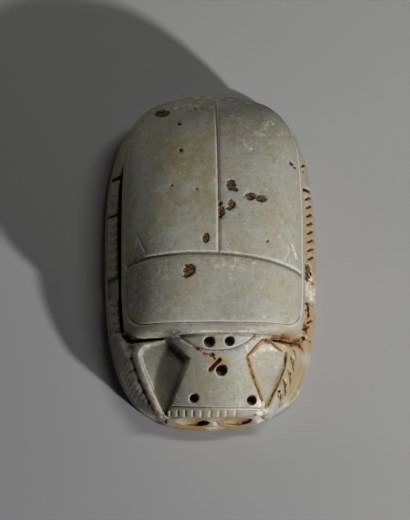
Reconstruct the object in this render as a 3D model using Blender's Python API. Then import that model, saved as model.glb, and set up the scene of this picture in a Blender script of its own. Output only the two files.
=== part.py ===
"""Scarab amulet: a large beetle carved from one piece of soft grey-green stone.

The frame: +Z is up, the flat underside lies on z = 0 and the origin is the middle of it.
The head points to -Y, so +X is on the right for someone who looks down with the head nearest.
Every dimension and every point below is in millimetres. The carving is laid out from its own
zero, BASE_MIDDLE behind the middle of the plate; mesh_object() takes that off and turns the
points into metres.
"""

import math

import bmesh
import bpy
from mathutils import Vector

METRES_PER_MM = 0.001

# ---- base plate ----
BASE_LENGTH = 79.0
BASE_WIDTH = 49.8
BASE_MIDDLE = -0.9              # the plate's middle along y, in the carving's layout
BASE_THICKNESS = 4.6
BASE_EDGE = 0.7                 # softened edge of the plate, above and below
OUTLINE_POWER = 3.0             # superellipse: 2 is an oval, more is squarer
OUTLINE_STEPS = 80

# ---- the wall between the plate and the back, on which the legs stand out ----
SKIRT_INSET_LOW = 1.3           # from the plate's edge, where the wall meets the plate
SKIRT_INSET_HIGH = 3.9          # and where it meets the back
SKIRT_INSET_ENDS = 3.3          # the same at the rear
SKIRT_TOP = 12.0
SKIRT_FRONT_Y = -18.5           # ahead of this the head and the fore legs take over
SKIRT_FRONT_TOP = 6.0

# ---- the domed back: wing cases and pronotum ----
BACK_TOP = 32.0
BACK_FOOT = 10.5
BACK_HALF_WIDTH = 21.4
BACK_REAR = 36.2
BACK_FRONT = -21.3
BACK_OUTLINE_POWER = 3.5
BACK_CORNER = 4.5               # plan radius of the pronotum's front corners
BACK_CREST_Y = 3.0
BACK_POWER = 2.9                # cross-section: a flat crown with round shoulders
BACK_REAR_POWER = 2.8           # side view, from the crest to the rear
PRONOTUM_FALL = 4.2             # how far the crest drops from the top to the front edge
PRONOTUM_CURVE = 1.25

# ---- incised lines ----
LINE_WIDTH = 1.0
LINE_DEPTH = 0.5
LINE_LIFT = 0.4                 # how far a cutter stands above the surface it cuts
SEAM_X = 0.5                    # line between the wing cases
SEAM_REAR = 35.0
ARC_Y = -3.95                   # line between wing cases and pronotum
ARC_SLANT = -0.05
ARC_BOW = 0.0055
ARC_HALF = 20.1
BORDER_SHARE = 0.95             # border line, as a share of the half width
BORDER_FRONT = -19.2
BORDER_REAR = 26.0
BORDER_CORNER = 4.0
SHOULDER_MARKS = (
    ((-17.6, 0.7), (-16.1, -2.9), (-18.7, -4.4)),
    ((17.6, -1.2), (15.7, -5.4), (18.6, -4.0)),
)                               # apex, inner foot and outer foot of each small triangle

# ---- floor beside the head, which the fore legs frame ----
FLOOR_BACK = 21.9               # height along the middle, at the back's front edge
FLOOR_FRONT = 15.2
FLOOR_DROP = 5.3                # how much lower it lies at LEG_SPREAD, by the back
FLOOR_DROP_FRONT = 1.9          # and by the front of the head
LEG_SPREAD = 16.0
SHOULDER_BACK = 18.6            # half width at the back and at the front
SHOULDER_FRONT = 12.9
SHOULDER_CURVE = 1.3
BANK_INSET = 0.8                # foot of the bank outside the fore legs, from the plate's edge
BANK_LOW = 4.0
BANK_SINK = {-1: 0.9, 1: 0.0}   # step down from the floor to the bank, on each side
BANK_CURVE = {-1: 3.0, 1: 1.1}  # the left bank bulges: 1 would be straight
KITE_SINK = (0.9, 3.4)          # the left floor lies deeper, by this much at the back and at the front
FRONT_END = -38.6

# ---- head ----
HEAD_X = 0.4
HEAD_BACK = -20.9
HEAD_FRONT = -37.6
HEAD_BACK_HALF = 12.8
HEAD_WAIST_HALF = 6.3
HEAD_FRONT_HALF = 11.1
HEAD_WAIST_Y = -26.4
HEAD_TOP = 25.6
HEAD_LOW = 18.6
HEAD_CROWN = 3.7                # fall from the crown's line to HEAD_FRONT_HALF beside it
HEAD_CROWN_X = 1.4              # that line stands a little right of the middle
LUNATE_Y = -25.0
LUNATE_HALF = 8.8
LUNATE_RISE = 3.6

# ---- clypeus: the toothed lip ahead of the head ----
LIP_HALF = 10.7
LIP_BACK = -36.8
LIP_FRONT = -39.3
LIP_BOW = 0.8                   # how far its ends stand back
LIP_EDGE_DROP = 2.4             # from the head's front down to the lip's lower edge
LIP_REACH = 1.5                 # and forward to it
LIP_UNDERCUT = 0.5
FACE_FOOT = -40.1               # the wall under the lip, where it meets the plate
TOOTH_LINES = (-10.1, -8.5, -6.8, -5.0, -3.1, -1.1, 0.9, 2.6, 4.7)     # unevenly spaced gaps
TOOTH_GAP = 0.6

# ---- drilled holes in the head: x, y, diameter ----
HOLES = (
    (-1.5, -23.0, 2.4),
    (3.1, -22.9, 2.1),
    (1.3, -29.2, 2.4),
    (-4.8, -35.1, 1.9),
    (8.4, -35.5, 2.1),
)
HOLE_DEPTH = 4.0
SLOT = ((0.8, -27.0), (-1.2, -29.0))    # shallow cut beside the middle hole, end to end
SLOT_WIDTH = 0.9
SLOT_DEPTH = 0.7

# ---- scooped hollows in the front face ----
SCOOPS = ((-4.7, 3.8), (5.5, 3.3))      # x of the middle and half width of each
SCOOP_HALF_DEEP = 1.5
SCOOP_HALF_HIGH = 4.9
SCOOP_Z = 7.4
SCOOP_SINK = 0.4                # their middle, behind the face

# ---- legs ----
LEG_HALF = 0.95
LEG_PROUD = 1.1
LEG_KNEE = (17.7, -24.6)
LEG_TIP = (12.3, -37.4)
LEG_CURVE = 1.25
LEG_FOOT = 4.5                  # how far a fore leg reaches down into the floor
SIDE_LEGS = (
    (-1, -20.2, -10.7, -19.2, 4),
    (-1, -5.6, 9.1, -4.4, 7),
    (-1, 9.4, 18.0, 11.0, 2),
    (-1, 18.5, 29.5, 21.0, 0),
    (1, -20.2, -11.9, -16.4, 1),
    (1, -6.2, 15.2, -1.3, 8),
    (1, 15.7, 29.5, 20.9, 1),
)                               # side, from y to y, first notch's y and number of notches
SIDE_LEG_OUT = 0.6              # their face, inside the plate's edge
SIDE_LEG_LOW = 6.0
SIDE_LEG_HIGH = 10.8
HATCH_PITCH = 2.05
HATCH_WIDTH = 0.7
HATCH_DEPTH = 0.8
BANK_NOTCHES = 7
BANK_NOTCH_LEAN = 2.4

STONE_COLOUR = (0.34, 0.335, 0.27, 1.0)
STONE_ROUGHNESS = 0.62


# ------------------------------------------------------------------ helpers

def clear_scene():
    for item in list(bpy.data.objects):
        bpy.data.objects.remove(item, do_unlink=True)


def mix(start, end, share):
    return start + (end - start) * share


def stone_material():
    material = bpy.data.materials.new("stone")
    material.use_nodes = True
    shader = material.node_tree.nodes["Principled BSDF"]
    shader.inputs["Base Color"].default_value = STONE_COLOUR
    shader.inputs["Roughness"].default_value = STONE_ROUGHNESS
    shader.inputs["Metallic"].default_value = 0.0
    return material


def mesh_object(name, shells):
    """One object from closed shells, each a list of points in mm and a list of faces."""
    mesh = bpy.data.meshes.new(name)
    middle = Vector((0.0, BASE_MIDDLE, 0.0))
    work = bmesh.new()
    for points, faces in shells:
        corners = [work.verts.new((Vector(point) - middle) * METRES_PER_MM) for point in points]
        for face in faces:
            work.faces.new([corners[index] for index in face])
    bmesh.ops.recalc_face_normals(work, faces=work.faces)
    bmesh.ops.triangulate(work, faces=work.faces)   # the Booleans need flat faces
    work.to_mesh(mesh)
    work.free()
    item = bpy.data.objects.new(name, mesh)
    bpy.context.collection.objects.link(item)
    return item


def loft_shell(rings):
    """A closed shell through equal rings of points, capped at both ends."""
    count = len(rings[0])
    points = [point for ring in rings for point in ring]
    faces = []
    for level in range(len(rings) - 1):
        low, high = level * count, (level + 1) * count
        for step in range(count):
            after = (step + 1) % count
            faces.append((low + step, low + after, high + after, high + step))
    faces.append(tuple(range(count - 1, -1, -1)))
    faces.append(tuple(range(len(points) - count, len(points))))
    return points, faces


def combine(body, tool, operation):
    """Adds a tool to the body, or cuts it away, with an exact Boolean."""
    tool.hide_render = True
    tool.display_type = "WIRE"
    step = body.modifiers.new(tool.name, "BOOLEAN")
    step.operation = operation
    step.solver = "EXACT"
    step.object = tool


def groove_shell(path, normals, width, depth, lift=LINE_LIFT):
    """A V-shaped cutter that follows a path on a surface."""
    rings = []
    last = len(path) - 1
    for index, point in enumerate(path):
        before, after = path[max(index - 1, 0)], path[min(index + 1, last)]
        along = (Vector(after) - Vector(before)).normalized()
        normal = Vector(normals[index])
        side = along.cross(normal).normalized()
        reach = 0.5 * width * (depth + lift) / depth
        deep = Vector(point) - normal * depth
        top = Vector(point) + normal * lift
        rings.append([deep, top + side * reach, top - side * reach])
    return loft_shell(rings)


def surface_normal(height, x, y, step=0.05):
    """The normal of a surface given by its height(x, y)."""
    slope_x = (height(x + step, y) - height(x - step, y)) / (2 * step)
    slope_y = (height(x, y + step) - height(x, y - step)) / (2 * step)
    return Vector((-slope_x, -slope_y, 1.0)).normalized()


def groove_on(height, plan, width=LINE_WIDTH, depth=LINE_DEPTH):
    """A groove cutter along plan points (x, y) on a surface given by its height."""
    path = [(x, y, height(x, y)) for x, y in plan]
    normals = [surface_normal(height, x, y) for x, y in plan]
    return groove_shell(path, normals, width, depth)


# ------------------------------------------------------------------ surfaces

def outline_half(y, half_width, half_length, power):
    """Half width of a superellipse at y."""
    share = min(abs(y) / half_length, 1.0)
    return half_width * (1.0 - share ** power) ** (1.0 / power)


def outline_point(turn, inset_sides, inset_ends):
    """A point on the plate's outline, moved in by the insets; turn is in radians."""
    cosine, sine = math.cos(turn), math.sin(turn)
    x = (BASE_WIDTH / 2 - inset_sides) * math.copysign(abs(cosine) ** (2 / OUTLINE_POWER), cosine)
    y = (BASE_LENGTH / 2 - inset_ends) * math.copysign(abs(sine) ** (2 / OUTLINE_POWER), sine)
    return x, BASE_MIDDLE + y


def plate_half(y):
    """Half width of the base plate at y."""
    return outline_half(y - BASE_MIDDLE, BASE_WIDTH / 2, BASE_LENGTH / 2, OUTLINE_POWER)


def back_half(y):
    """Half width of the back, with the pronotum's rounded front corners."""
    half = outline_half(y, BACK_HALF_WIDTH, BACK_REAR, BACK_OUTLINE_POWER)
    into_corner = BACK_CORNER - (y - BACK_FRONT)
    if into_corner > 0.0:
        half -= BACK_CORNER - math.sqrt(max(BACK_CORNER ** 2 - into_corner ** 2, 0.0))
    return half


def back_crest(y):
    """Height of the back's middle above its foot."""
    rise = BACK_TOP - BACK_FOOT
    if y > BACK_CREST_Y:
        share = min((y - BACK_CREST_Y) / (BACK_REAR - BACK_CREST_Y), 1.0)
        return rise * (1.0 - share ** BACK_REAR_POWER) ** (1.0 / BACK_REAR_POWER)
    share = (BACK_CREST_Y - y) / (BACK_CREST_Y - BACK_FRONT)
    return rise - PRONOTUM_FALL * share ** PRONOTUM_CURVE


def back_height(x, y):
    across = min(abs(x) / back_half(y), 1.0)
    return BACK_FOOT + back_crest(y) * (1.0 - across ** BACK_POWER) ** (1.0 / BACK_POWER)


def front_share(y):
    """0 at the back's front edge, 1 at the front of the head."""
    return (BACK_FRONT - y) / (BACK_FRONT - HEAD_FRONT)


def floor_height(x, y):
    middle = mix(FLOOR_BACK, FLOOR_FRONT, front_share(y))
    drop = mix(FLOOR_DROP, FLOOR_DROP_FRONT, front_share(y))
    return middle - drop * (x / LEG_SPREAD) ** 2


def kite_sink(x, y):
    """How much deeper the ground lies between the head and the left fore leg."""
    if -0.9 * shoulder_half(y) < x < -0.6 * HEAD_WAIST_HALF:
        return mix(*KITE_SINK, max(front_share(y), 0.0))
    return 0.0


def bank_foot(y):
    """Where the bank outside a fore leg meets the plate."""
    return plate_half(y) - BANK_INSET


def shoulder_half(y):
    """Where that bank starts, at the outer edge of the leg."""
    half = mix(SHOULDER_BACK, SHOULDER_FRONT, max(front_share(y), 0.0) ** SHOULDER_CURVE)
    return min(half, bank_foot(y) - 0.3)


def bank_point(side, y, share):
    """A point on that bank: share 0 is at the leg, 1 at the plate."""
    half, foot = shoulder_half(y), bank_foot(y)
    top = floor_height(half, y) - BANK_SINK[side]
    return Vector((side * mix(half, foot, share), y, mix(top, BANK_LOW, share ** BANK_CURVE[side])))


def head_half(y):
    if y > HEAD_WAIST_Y:
        share = (y - HEAD_WAIST_Y) / (HEAD_BACK - HEAD_WAIST_Y)
        return mix(HEAD_WAIST_HALF, HEAD_BACK_HALF, share)
    share = (HEAD_WAIST_Y - y) / (HEAD_WAIST_Y - HEAD_FRONT)
    return mix(HEAD_WAIST_HALF, HEAD_FRONT_HALF, share)


def head_height(x, y):
    middle = mix(HEAD_TOP, HEAD_LOW, front_share(y))
    return middle - HEAD_CROWN * ((x - HEAD_CROWN_X) / HEAD_FRONT_HALF) ** 2


# ------------------------------------------------------------------ solids

def base_plate():
    levels = (
        (0.0, BASE_EDGE),
        (BASE_EDGE, 0.0),
        (BASE_THICKNESS - BASE_EDGE, 0.0),
        (BASE_THICKNESS, BASE_EDGE),
    )
    turns = [2 * math.pi * step / OUTLINE_STEPS for step in range(OUTLINE_STEPS)]
    rings = [[(*outline_point(turn, inset, inset), z) for turn in turns] for z, inset in levels]
    return mesh_object("scarab", [loft_shell(rings)])


def skirt():
    """The wall from the plate up to the back; its top falls away ahead of the pronotum."""
    rings = []
    for share in (0.0, 0.5, 1.0):
        inset_sides = mix(SKIRT_INSET_LOW, SKIRT_INSET_HIGH, share ** 1.5)
        inset_ends = mix(SKIRT_INSET_LOW, SKIRT_INSET_ENDS, share ** 1.5)
        ring = []
        for step in range(OUTLINE_STEPS):
            turn = 2 * math.pi * (step + 0.5) / OUTLINE_STEPS
            x, y = outline_point(turn, inset_sides, inset_ends)
            ahead = min(max((SKIRT_FRONT_Y - y) / 6.0, 0.0), 1.0)
            top = mix(SKIRT_TOP, SKIRT_FRONT_TOP, ahead)
            ring.append((x, y, mix(BASE_THICKNESS - 1.2, top, share)))
        rings.append(ring)
    return mesh_object("skirt", [loft_shell(rings)])


def back():
    """Wing cases and pronotum: cross-sections along the length."""
    rear = BACK_REAR - BACK_CREST_Y
    stations = [BACK_CREST_Y + rear * math.sin(math.radians(turn)) for turn in range(87, 0, -6)]
    stations += [BACK_CREST_Y - 3.5 * step for step in range(6)]
    stations += [BACK_FRONT + BACK_CORNER * (1 - math.sin(math.radians(turn)))
                 for turn in (10, 30, 50, 70, 90)]
    rings = []
    steps = 28
    for y in stations:
        half, crest = back_half(y), back_crest(y)
        ring = [(-half, y, BACK_FOOT - 0.5), (half, y, BACK_FOOT - 0.5)]
        for step in range(steps + 1):
            turn = math.pi * step / steps
            cosine, sine = math.cos(turn), math.sin(turn)
            x = half * math.copysign(abs(cosine) ** (2 / BACK_POWER), cosine)
            ring.append((x, y, BACK_FOOT + crest * max(sine, 0.0) ** (2 / BACK_POWER)))
        rings.append(ring)
    return mesh_object("back", [loft_shell(rings)])


def front_floor():
    """The sloping ground on both sides of the head, down to the plate."""
    rings = []
    stations = [mix(SKIRT_FRONT_Y, FRONT_END, step / 16) for step in range(17)]
    for y in stations:
        half = shoulder_half(y)
        ring = [bank_point(1, y, share) for share in (1.0, 0.8, 0.6, 0.3)]
        for step in range(9):
            x = mix(half, -half, step / 8)
            ring.append((x, y, floor_height(x, y) - kite_sink(x, y)))
        ring += [bank_point(-1, y, share) for share in (0.05, 0.6, 0.85, 1.0)]
        rings.append(ring)
    return mesh_object("front_floor", [loft_shell(rings)])


def head():
    rings = []
    stations = [mix(HEAD_BACK, HEAD_FRONT, step / 14) for step in range(15)]
    for y in stations:
        half = head_half(y)
        ring = [(HEAD_X - half, y, 6.0), (HEAD_X + half, y, 6.0)]
        for step in range(11):
            x = HEAD_X + mix(half, -half, step / 10)
            ring.append((x, y, head_height(x, y)))
        rings.append(ring)
    return mesh_object("head", [loft_shell(rings)])


def lip_bow(x):
    return LIP_BOW * (x / LIP_HALF) ** 2


def lip():
    """The clypeus, a bar with a sloping face, and the plain wall under it."""
    rings = []
    steps = 12
    for step in range(steps + 1):
        x = mix(-LIP_HALF, LIP_HALF, step / steps)
        bow = lip_bow(x)
        top = head_height(x, HEAD_FRONT)
        edge = top - LIP_EDGE_DROP
        rings.append([
            (x, LIP_BACK, BANK_LOW),
            (x, FACE_FOOT + bow, BANK_LOW),
            (x, LIP_FRONT + LIP_UNDERCUT + bow, edge - 0.8),
            (x, LIP_FRONT + bow, edge - 0.4),
            (x, LIP_FRONT + bow, edge),
            (x, LIP_FRONT + LIP_REACH + bow, top),
            (x, LIP_BACK, top + 0.1),
        ])
    return mesh_object("lip", [loft_shell(rings)])


def leg_plan(side):
    """Plan path of a fore leg: out along the pronotum, round the knee, in to the lip."""
    spread = [(12.4, -21.7), (15.2, -22.0), (17.0, -22.9), LEG_KNEE]
    reach = 12
    for step in range(1, reach + 1):
        share = step / reach
        spread.append((mix(LEG_KNEE[0], LEG_TIP[0], share ** LEG_CURVE), mix(LEG_KNEE[1], LEG_TIP[1], share)))
    return [(side * x, y) for x, y in spread]


def fore_leg(side):
    plan = leg_plan(side)
    rings = []
    last = len(plan) - 1
    for index, (x, y) in enumerate(plan):
        before, after = plan[max(index - 1, 0)], plan[min(index + 1, last)]
        along = Vector((after[0] - before[0], after[1] - before[1], 0.0)).normalized()
        across = Vector((along.y, -along.x, 0.0)) * LEG_HALF
        centre = Vector((x, y, floor_height(x, y)))
        low, high = Vector((0, 0, -LEG_FOOT)), Vector((0, 0, LEG_PROUD))
        rings.append([
            centre - across + low,
            centre + across + low,
            centre + across + high * 0.4,
            centre + across * 0.45 + high,
            centre - across * 0.45 + high,
            centre - across + high * 0.4,
        ])
    name = "fore_leg_right" if side > 0 else "fore_leg_left"
    return mesh_object(name, [loft_shell(rings)])


def side_leg_shell(side, start, end):
    """A leg folded along the side: a flat-faced bar that follows the plate's outline."""
    rings = []
    steps = 8
    for step in range(steps + 1):
        y = mix(start, end, step / steps)
        face = plate_half(y) - SIDE_LEG_OUT
        taper = 1.0 - 0.5 * abs(2 * step / steps - 1) ** 6
        middle = 0.5 * (SIDE_LEG_LOW + SIDE_LEG_HIGH) + 0.8 * (step / steps - 0.5)
        half = 0.5 * (SIDE_LEG_HIGH - SIDE_LEG_LOW) * taper
        rings.append([
            (side * (face - 4.0), y, middle - half),
            (side * (face - 0.5), y, middle - half),
            (side * face, y, middle - half + 0.7),
            (side * (face - 0.5), y, middle + half - 0.7),
            (side * (face - 1.3), y, middle + half),
            (side * (face - 4.0), y, middle + half),
        ])
    return loft_shell(rings)


def side_legs():
    shells = [side_leg_shell(side, start, end) for side, start, end, _, _ in SIDE_LEGS]
    return mesh_object("side_legs", shells)


# ------------------------------------------------------------------ cutters

def seam_groove():
    steps = 26
    plan = []
    for step in range(steps + 1):
        plan.append((SEAM_X, mix(SEAM_REAR, ARC_Y, step / steps)))
    return mesh_object("seam_groove", [groove_on(back_height, plan)])


def arc_groove():
    steps = 24
    plan = []
    for step in range(steps + 1):
        x = ARC_HALF * math.sin(math.radians(mix(-90, 90, step / steps)))
        plan.append((x, ARC_Y + ARC_SLANT * x - ARC_BOW * x ** 2))
    return mesh_object("arc_groove", [groove_on(back_height, plan)])


def border_groove():
    """The line that follows both sides of the back and its front edge."""
    half = []
    side_steps = 14
    for step in range(side_steps + 1):
        y = mix(BORDER_REAR, BORDER_FRONT + BORDER_CORNER, step / side_steps)
        half.append((BORDER_SHARE * back_half(y), y))
    corner_x = half[-1][0] - BORDER_CORNER
    corner_y = BORDER_FRONT + BORDER_CORNER
    for turn in (22.5, 45, 67.5, 90):
        radians = math.radians(turn)
        half.append((corner_x + BORDER_CORNER * math.cos(radians),
                     corner_y - BORDER_CORNER * math.sin(radians)))
    front_steps = 8
    front = [(mix(corner_x, -corner_x, step / front_steps), BORDER_FRONT)
             for step in range(1, front_steps)]
    plan = half + front + [(-x, y) for x, y in reversed(half)]
    return mesh_object("border_groove", [groove_on(back_height, plan, 0.9, 0.45)])


def shoulder_marks():
    """A small incised triangle, two strokes and open below, on each wing case."""
    shells = []
    for apex, inner, outer in SHOULDER_MARKS:
        shells.append(groove_on(back_height, [outer, apex, inner], 0.7, 0.3))
    return mesh_object("shoulder_marks", shells)


def head_grooves():
    """The crescent behind the head, and the line that sets off the clypeus."""
    crescent = []
    steps = 12
    for step in range(steps + 1):
        across = mix(-1.0, 1.0, step / steps)
        crescent.append((HEAD_X + LUNATE_HALF * across, LUNATE_Y + LUNATE_RISE * abs(across) ** 2.4))
    line = []
    for step in range(9):
        x = mix(-LIP_HALF + 0.4, LIP_HALF - 0.4, step / 8)
        line.append((x, HEAD_FRONT + 0.2 + 0.5 * lip_bow(x)))
    return mesh_object("head_grooves", [
        groove_on(head_height, crescent, 0.9, 0.45),
        groove_on(head_height, line, 0.9, 0.5),
    ])


def holes():
    shells = []
    sides = 12
    for x, y, diameter in HOLES:
        mouth = head_height(x, y)
        rings = []
        for z in (mouth - HOLE_DEPTH, mouth + 3.0):
            rings.append([(x + diameter / 2 * math.cos(2 * math.pi * step / sides),
                           y + diameter / 2 * math.sin(2 * math.pi * step / sides), z)
                          for step in range(sides)])
        shells.append(loft_shell(rings))
    return mesh_object("holes", shells)


def slot():
    return mesh_object("slot", [groove_on(head_height, SLOT, SLOT_WIDTH, SLOT_DEPTH)])


def teeth():
    """The gaps between the clypeus's teeth."""
    shells = []
    slope = Vector((0.0, LIP_REACH, LIP_EDGE_DROP))
    outward = Vector((0.0, -slope.z, slope.y)).normalized()
    for x in TOOTH_LINES:
        corner = Vector((x, LIP_FRONT + lip_bow(x), head_height(x, HEAD_FRONT) - LIP_EDGE_DROP))
        low, high = corner - slope * 0.1, corner + slope * 0.75
        shells.append(groove_shell([low, high], [outward, outward], TOOTH_GAP, 0.5))
    return mesh_object("teeth", shells)


def scoops():
    """Two shallow ellipsoidal hollows in the front face, under the clypeus."""
    shells = []
    around, levels = 12, 6
    for centre, half in SCOOPS:
        wall = 0.5 * (LIP_FRONT + FACE_FOOT) + lip_bow(centre) + SCOOP_SINK
        rings = []
        for level in range(levels + 1):
            tilt = math.radians(mix(-86, 86, level / levels))
            rings.append([(centre + half * math.sin(tilt),
                           wall + SCOOP_HALF_DEEP * math.cos(tilt) * math.cos(2 * math.pi * step / around),
                           SCOOP_Z + SCOOP_HALF_HIGH * math.cos(tilt) * math.sin(2 * math.pi * step / around))
                          for step in range(around)])
        shells.append(loft_shell(rings))
    return mesh_object("scoops", shells)


def side_hatching():
    """Slanting notches across the side legs."""
    shells = []
    for side, _, _, first, count in SIDE_LEGS:
        for step in range(count):
            y = first + HATCH_PITCH * step
            path = []
            for z, lean in ((SIDE_LEG_LOW + 1.0, 1.0), (SIDE_LEG_HIGH + 0.9, -0.3)):
                face = plate_half(y + lean) - SIDE_LEG_OUT
                path.append((side * (face - 0.3), y + lean, z))
            outward = Vector((side, 0.0, 0.25)).normalized()
            shells.append(groove_shell(path, [outward, outward], HATCH_WIDTH, HATCH_DEPTH, 0.8))
    return mesh_object("side_hatching", shells)


def fore_hatching():
    """Slanting notches down the bank outside each fore leg."""
    shells = []
    for side in (-1, 1):
        for step in range(BANK_NOTCHES):
            y = mix(-24.0, -34.0, step / (BANK_NOTCHES - 1))
            path = [bank_point(side, y - BANK_NOTCH_LEAN * share, share) for share in (0.1, 0.4, 0.7)]
            outward = (path[-1] - path[0]).cross(Vector((0.0, -side, 0.0))).normalized()
            shells.append(groove_shell(path, [outward] * 3, HATCH_WIDTH, 0.6, 0.6))
    return mesh_object("fore_hatching", shells)


# ------------------------------------------------------------------ the amulet

def scarab():
    body = base_plate()
    body.data.materials.append(stone_material())
    for solid in (skirt(), side_legs(), front_floor(), fore_leg(-1), fore_leg(1), lip(), head(), back()):
        combine(body, solid, "UNION")
    cutters = (seam_groove(), arc_groove(), border_groove(), shoulder_marks(), head_grooves(),
               holes(), slot(), teeth(), scoops(), side_hatching(), fore_hatching())
    for cutter in cutters:
        combine(body, cutter, "DIFFERENCE")
    return body


clear_scene()
scarab()
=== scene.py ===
"""The looks of the scarab amulet: one finely carved stone mesh, its weathered material, and the studio.

The carving is worked out as signed distances on a fine grid, turned into a mesh, and given its fine
relief and its dirt, stain and wear masks point by point, some of which also carry painted shade and
painted light. Lengths are in millimetres of the design, whose plate is LENGTH long; the frame's own box sets
the scale between them and metres.
"""

import math

import bpy
import numpy as np
from mathutils import Matrix, Vector


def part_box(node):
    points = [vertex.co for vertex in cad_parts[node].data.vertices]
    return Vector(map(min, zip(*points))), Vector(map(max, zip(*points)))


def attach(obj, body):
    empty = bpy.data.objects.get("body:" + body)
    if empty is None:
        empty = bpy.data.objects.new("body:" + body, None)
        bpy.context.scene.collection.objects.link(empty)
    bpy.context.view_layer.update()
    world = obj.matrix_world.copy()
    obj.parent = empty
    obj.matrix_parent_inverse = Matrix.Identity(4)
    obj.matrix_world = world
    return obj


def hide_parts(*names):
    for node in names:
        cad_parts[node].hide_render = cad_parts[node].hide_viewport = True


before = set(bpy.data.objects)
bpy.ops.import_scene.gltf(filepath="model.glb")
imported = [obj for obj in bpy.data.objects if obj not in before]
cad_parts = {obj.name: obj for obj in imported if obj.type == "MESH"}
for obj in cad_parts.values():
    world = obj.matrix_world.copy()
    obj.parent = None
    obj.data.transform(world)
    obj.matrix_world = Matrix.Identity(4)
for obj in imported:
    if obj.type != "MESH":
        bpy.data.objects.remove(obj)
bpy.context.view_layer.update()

# ---------- the carving's sizes, in mm

LENGTH = 79.0
WIDTH = 49.8
HEIGHT = 32.0
PLATE_TOP = 4.6
PLATE_ROUND = 0.7
PLATE_MIDDLE = -0.9
OUTLINE_POWER = 3.0
OUTLINE_SHAVES = (
    (-11.5, 37.0, 5.0, 1.0),
    (12.0, 37.5, 5.0, 0.3),
    (13.5, -39.0, 3.5, 0.6),
    (20.5, -32.5, 3.0, -0.6),
)                               # x, y, reach and depth of what the carver took off the outline

SKIRT_INSET_LOW = 1.3
SKIRT_INSET_HIGH = 3.9
SKIRT_INSET_ENDS = 3.3
SKIRT_TOP = 12.0
SKIRT_FRONT = -18.5

BACK_FOOT = 10.5
BACK_HALF_WIDTH = 21.4
BACK_REAR = 36.2
BACK_FRONT = -21.3
BACK_CORNER = 4.5
BACK_CREST_Y = 3.0
BACK_OUTLINE_POWER = 3.5
BACK_SWELLS = (
    (-19.6, 29.5, 5.0, 1.1),
    (19.8, 25.0, 5.0, 0.4),
)                               # x, y, reach and depth
BACK_POWER = 2.9
BACK_REAR_POWER = 2.8
PRONOTUM_FALL = 4.2
PRONOTUM_CURVE = 1.25

SEAM_X = 0.5
SEAM_REAR = 34.4
ARC_Y = -3.95
ARC_SLANT = -0.05
ARC_BOW = 0.0055
ARC_HALF = 20.3
BORDER_SHARE = 0.95
BORDER_FRONT = -19.2
BORDER_REAR = 26.0
BORDER_CORNER = 4.0
SHOULDER_MARKS = (
    ((-17.6, 0.7), (-16.1, -2.9), (-18.7, -4.4)),
    ((17.6, -1.2), (15.7, -5.4), (18.6, -4.0)),
)                               # apex, inner foot and outer foot of each incised triangle

FLOOR_BACK = 21.9
FLOOR_FRONT = 15.2
FLOOR_DROP = 5.3
FLOOR_DROP_FRONT = 1.9
LEG_SPREAD = 16.0
SHOULDER_BACK = 18.6
SHOULDER_FRONT = 12.9
SHOULDER_CURVE = 1.3
BANK_INSET = 0.8
BANK_LOW = 4.0
RIM_LOW = 6.0                   # where the left bank meets the plate, and how near its edge
RIM_GAP = 0.15
BANK_SINK = {-1: 0.9, 1: 0.0}
BANK_CURVE = {-1: 4.0, 1: 1.1}
VALLEY_DEPTH = 0.6              # of the ditch between the left fore leg and its bank
VALLEY_END = 0.5                # how far across the bank it reaches
FRONT_END = -38.6

HEAD_X = 0.4
HEAD_BACK = -20.9
HEAD_FRONT = -37.6
HEAD_BACK_HALF = 12.8
HEAD_WAIST_HALF = 6.3
HEAD_FRONT_HALF = 11.1
HEAD_WAIST_Y = -26.4
HEAD_TOP = 25.6
HEAD_LOW = 18.6
HEAD_CROWN = 3.7
HEAD_CROWN_X = 1.4
HEAD_DRAFT = {-1: 0.15, 1: 0.1}
LUNATE_Y = -25.0
LUNATE_HALF = 8.8
LUNATE_RISE = 3.6

LIP_HALF = 10.7
LIP_BACK = -36.8
LIP_FRONT = -39.3
LIP_BOW = 0.8
LIP_EDGE_DROP = 2.4
LIP_REACH = 1.5
LIP_UNDERCUT = 0.1
FACE_FOOT = -40.1
CLYPEUS_SLANT = -0.035
TOOTH_LINES = (-10.1, -8.5, -6.8, -5.0, -3.1, -1.1, 0.9, 2.6, 4.7)

HOLES = (
    (-1.5, -23.0, 2.4),
    (3.1, -22.9, 2.1),
    (1.3, -29.2, 2.4),
    (-4.8, -35.1, 1.9),
    (8.4, -35.5, 2.1),
)
HOLE_DEPTH = 4.0

SCOOPS = ((-4.7, 3.8), (5.5, 3.3))
SCOOP_HALF_DEEP = 0.85
SCOOP_HALF_HIGH = 3.9
SCOOP_Z = 8.6
SCOOP_SINK = 0.25
FACE_CLEAN = 0.5                # how little of the usual dirt lies in the hollows of the face
SLOT = ((0.8, -27.0), (-1.2, -29.0))
SLOT_HALF = 0.45
SLOT_DEPTH = 0.8

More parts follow.
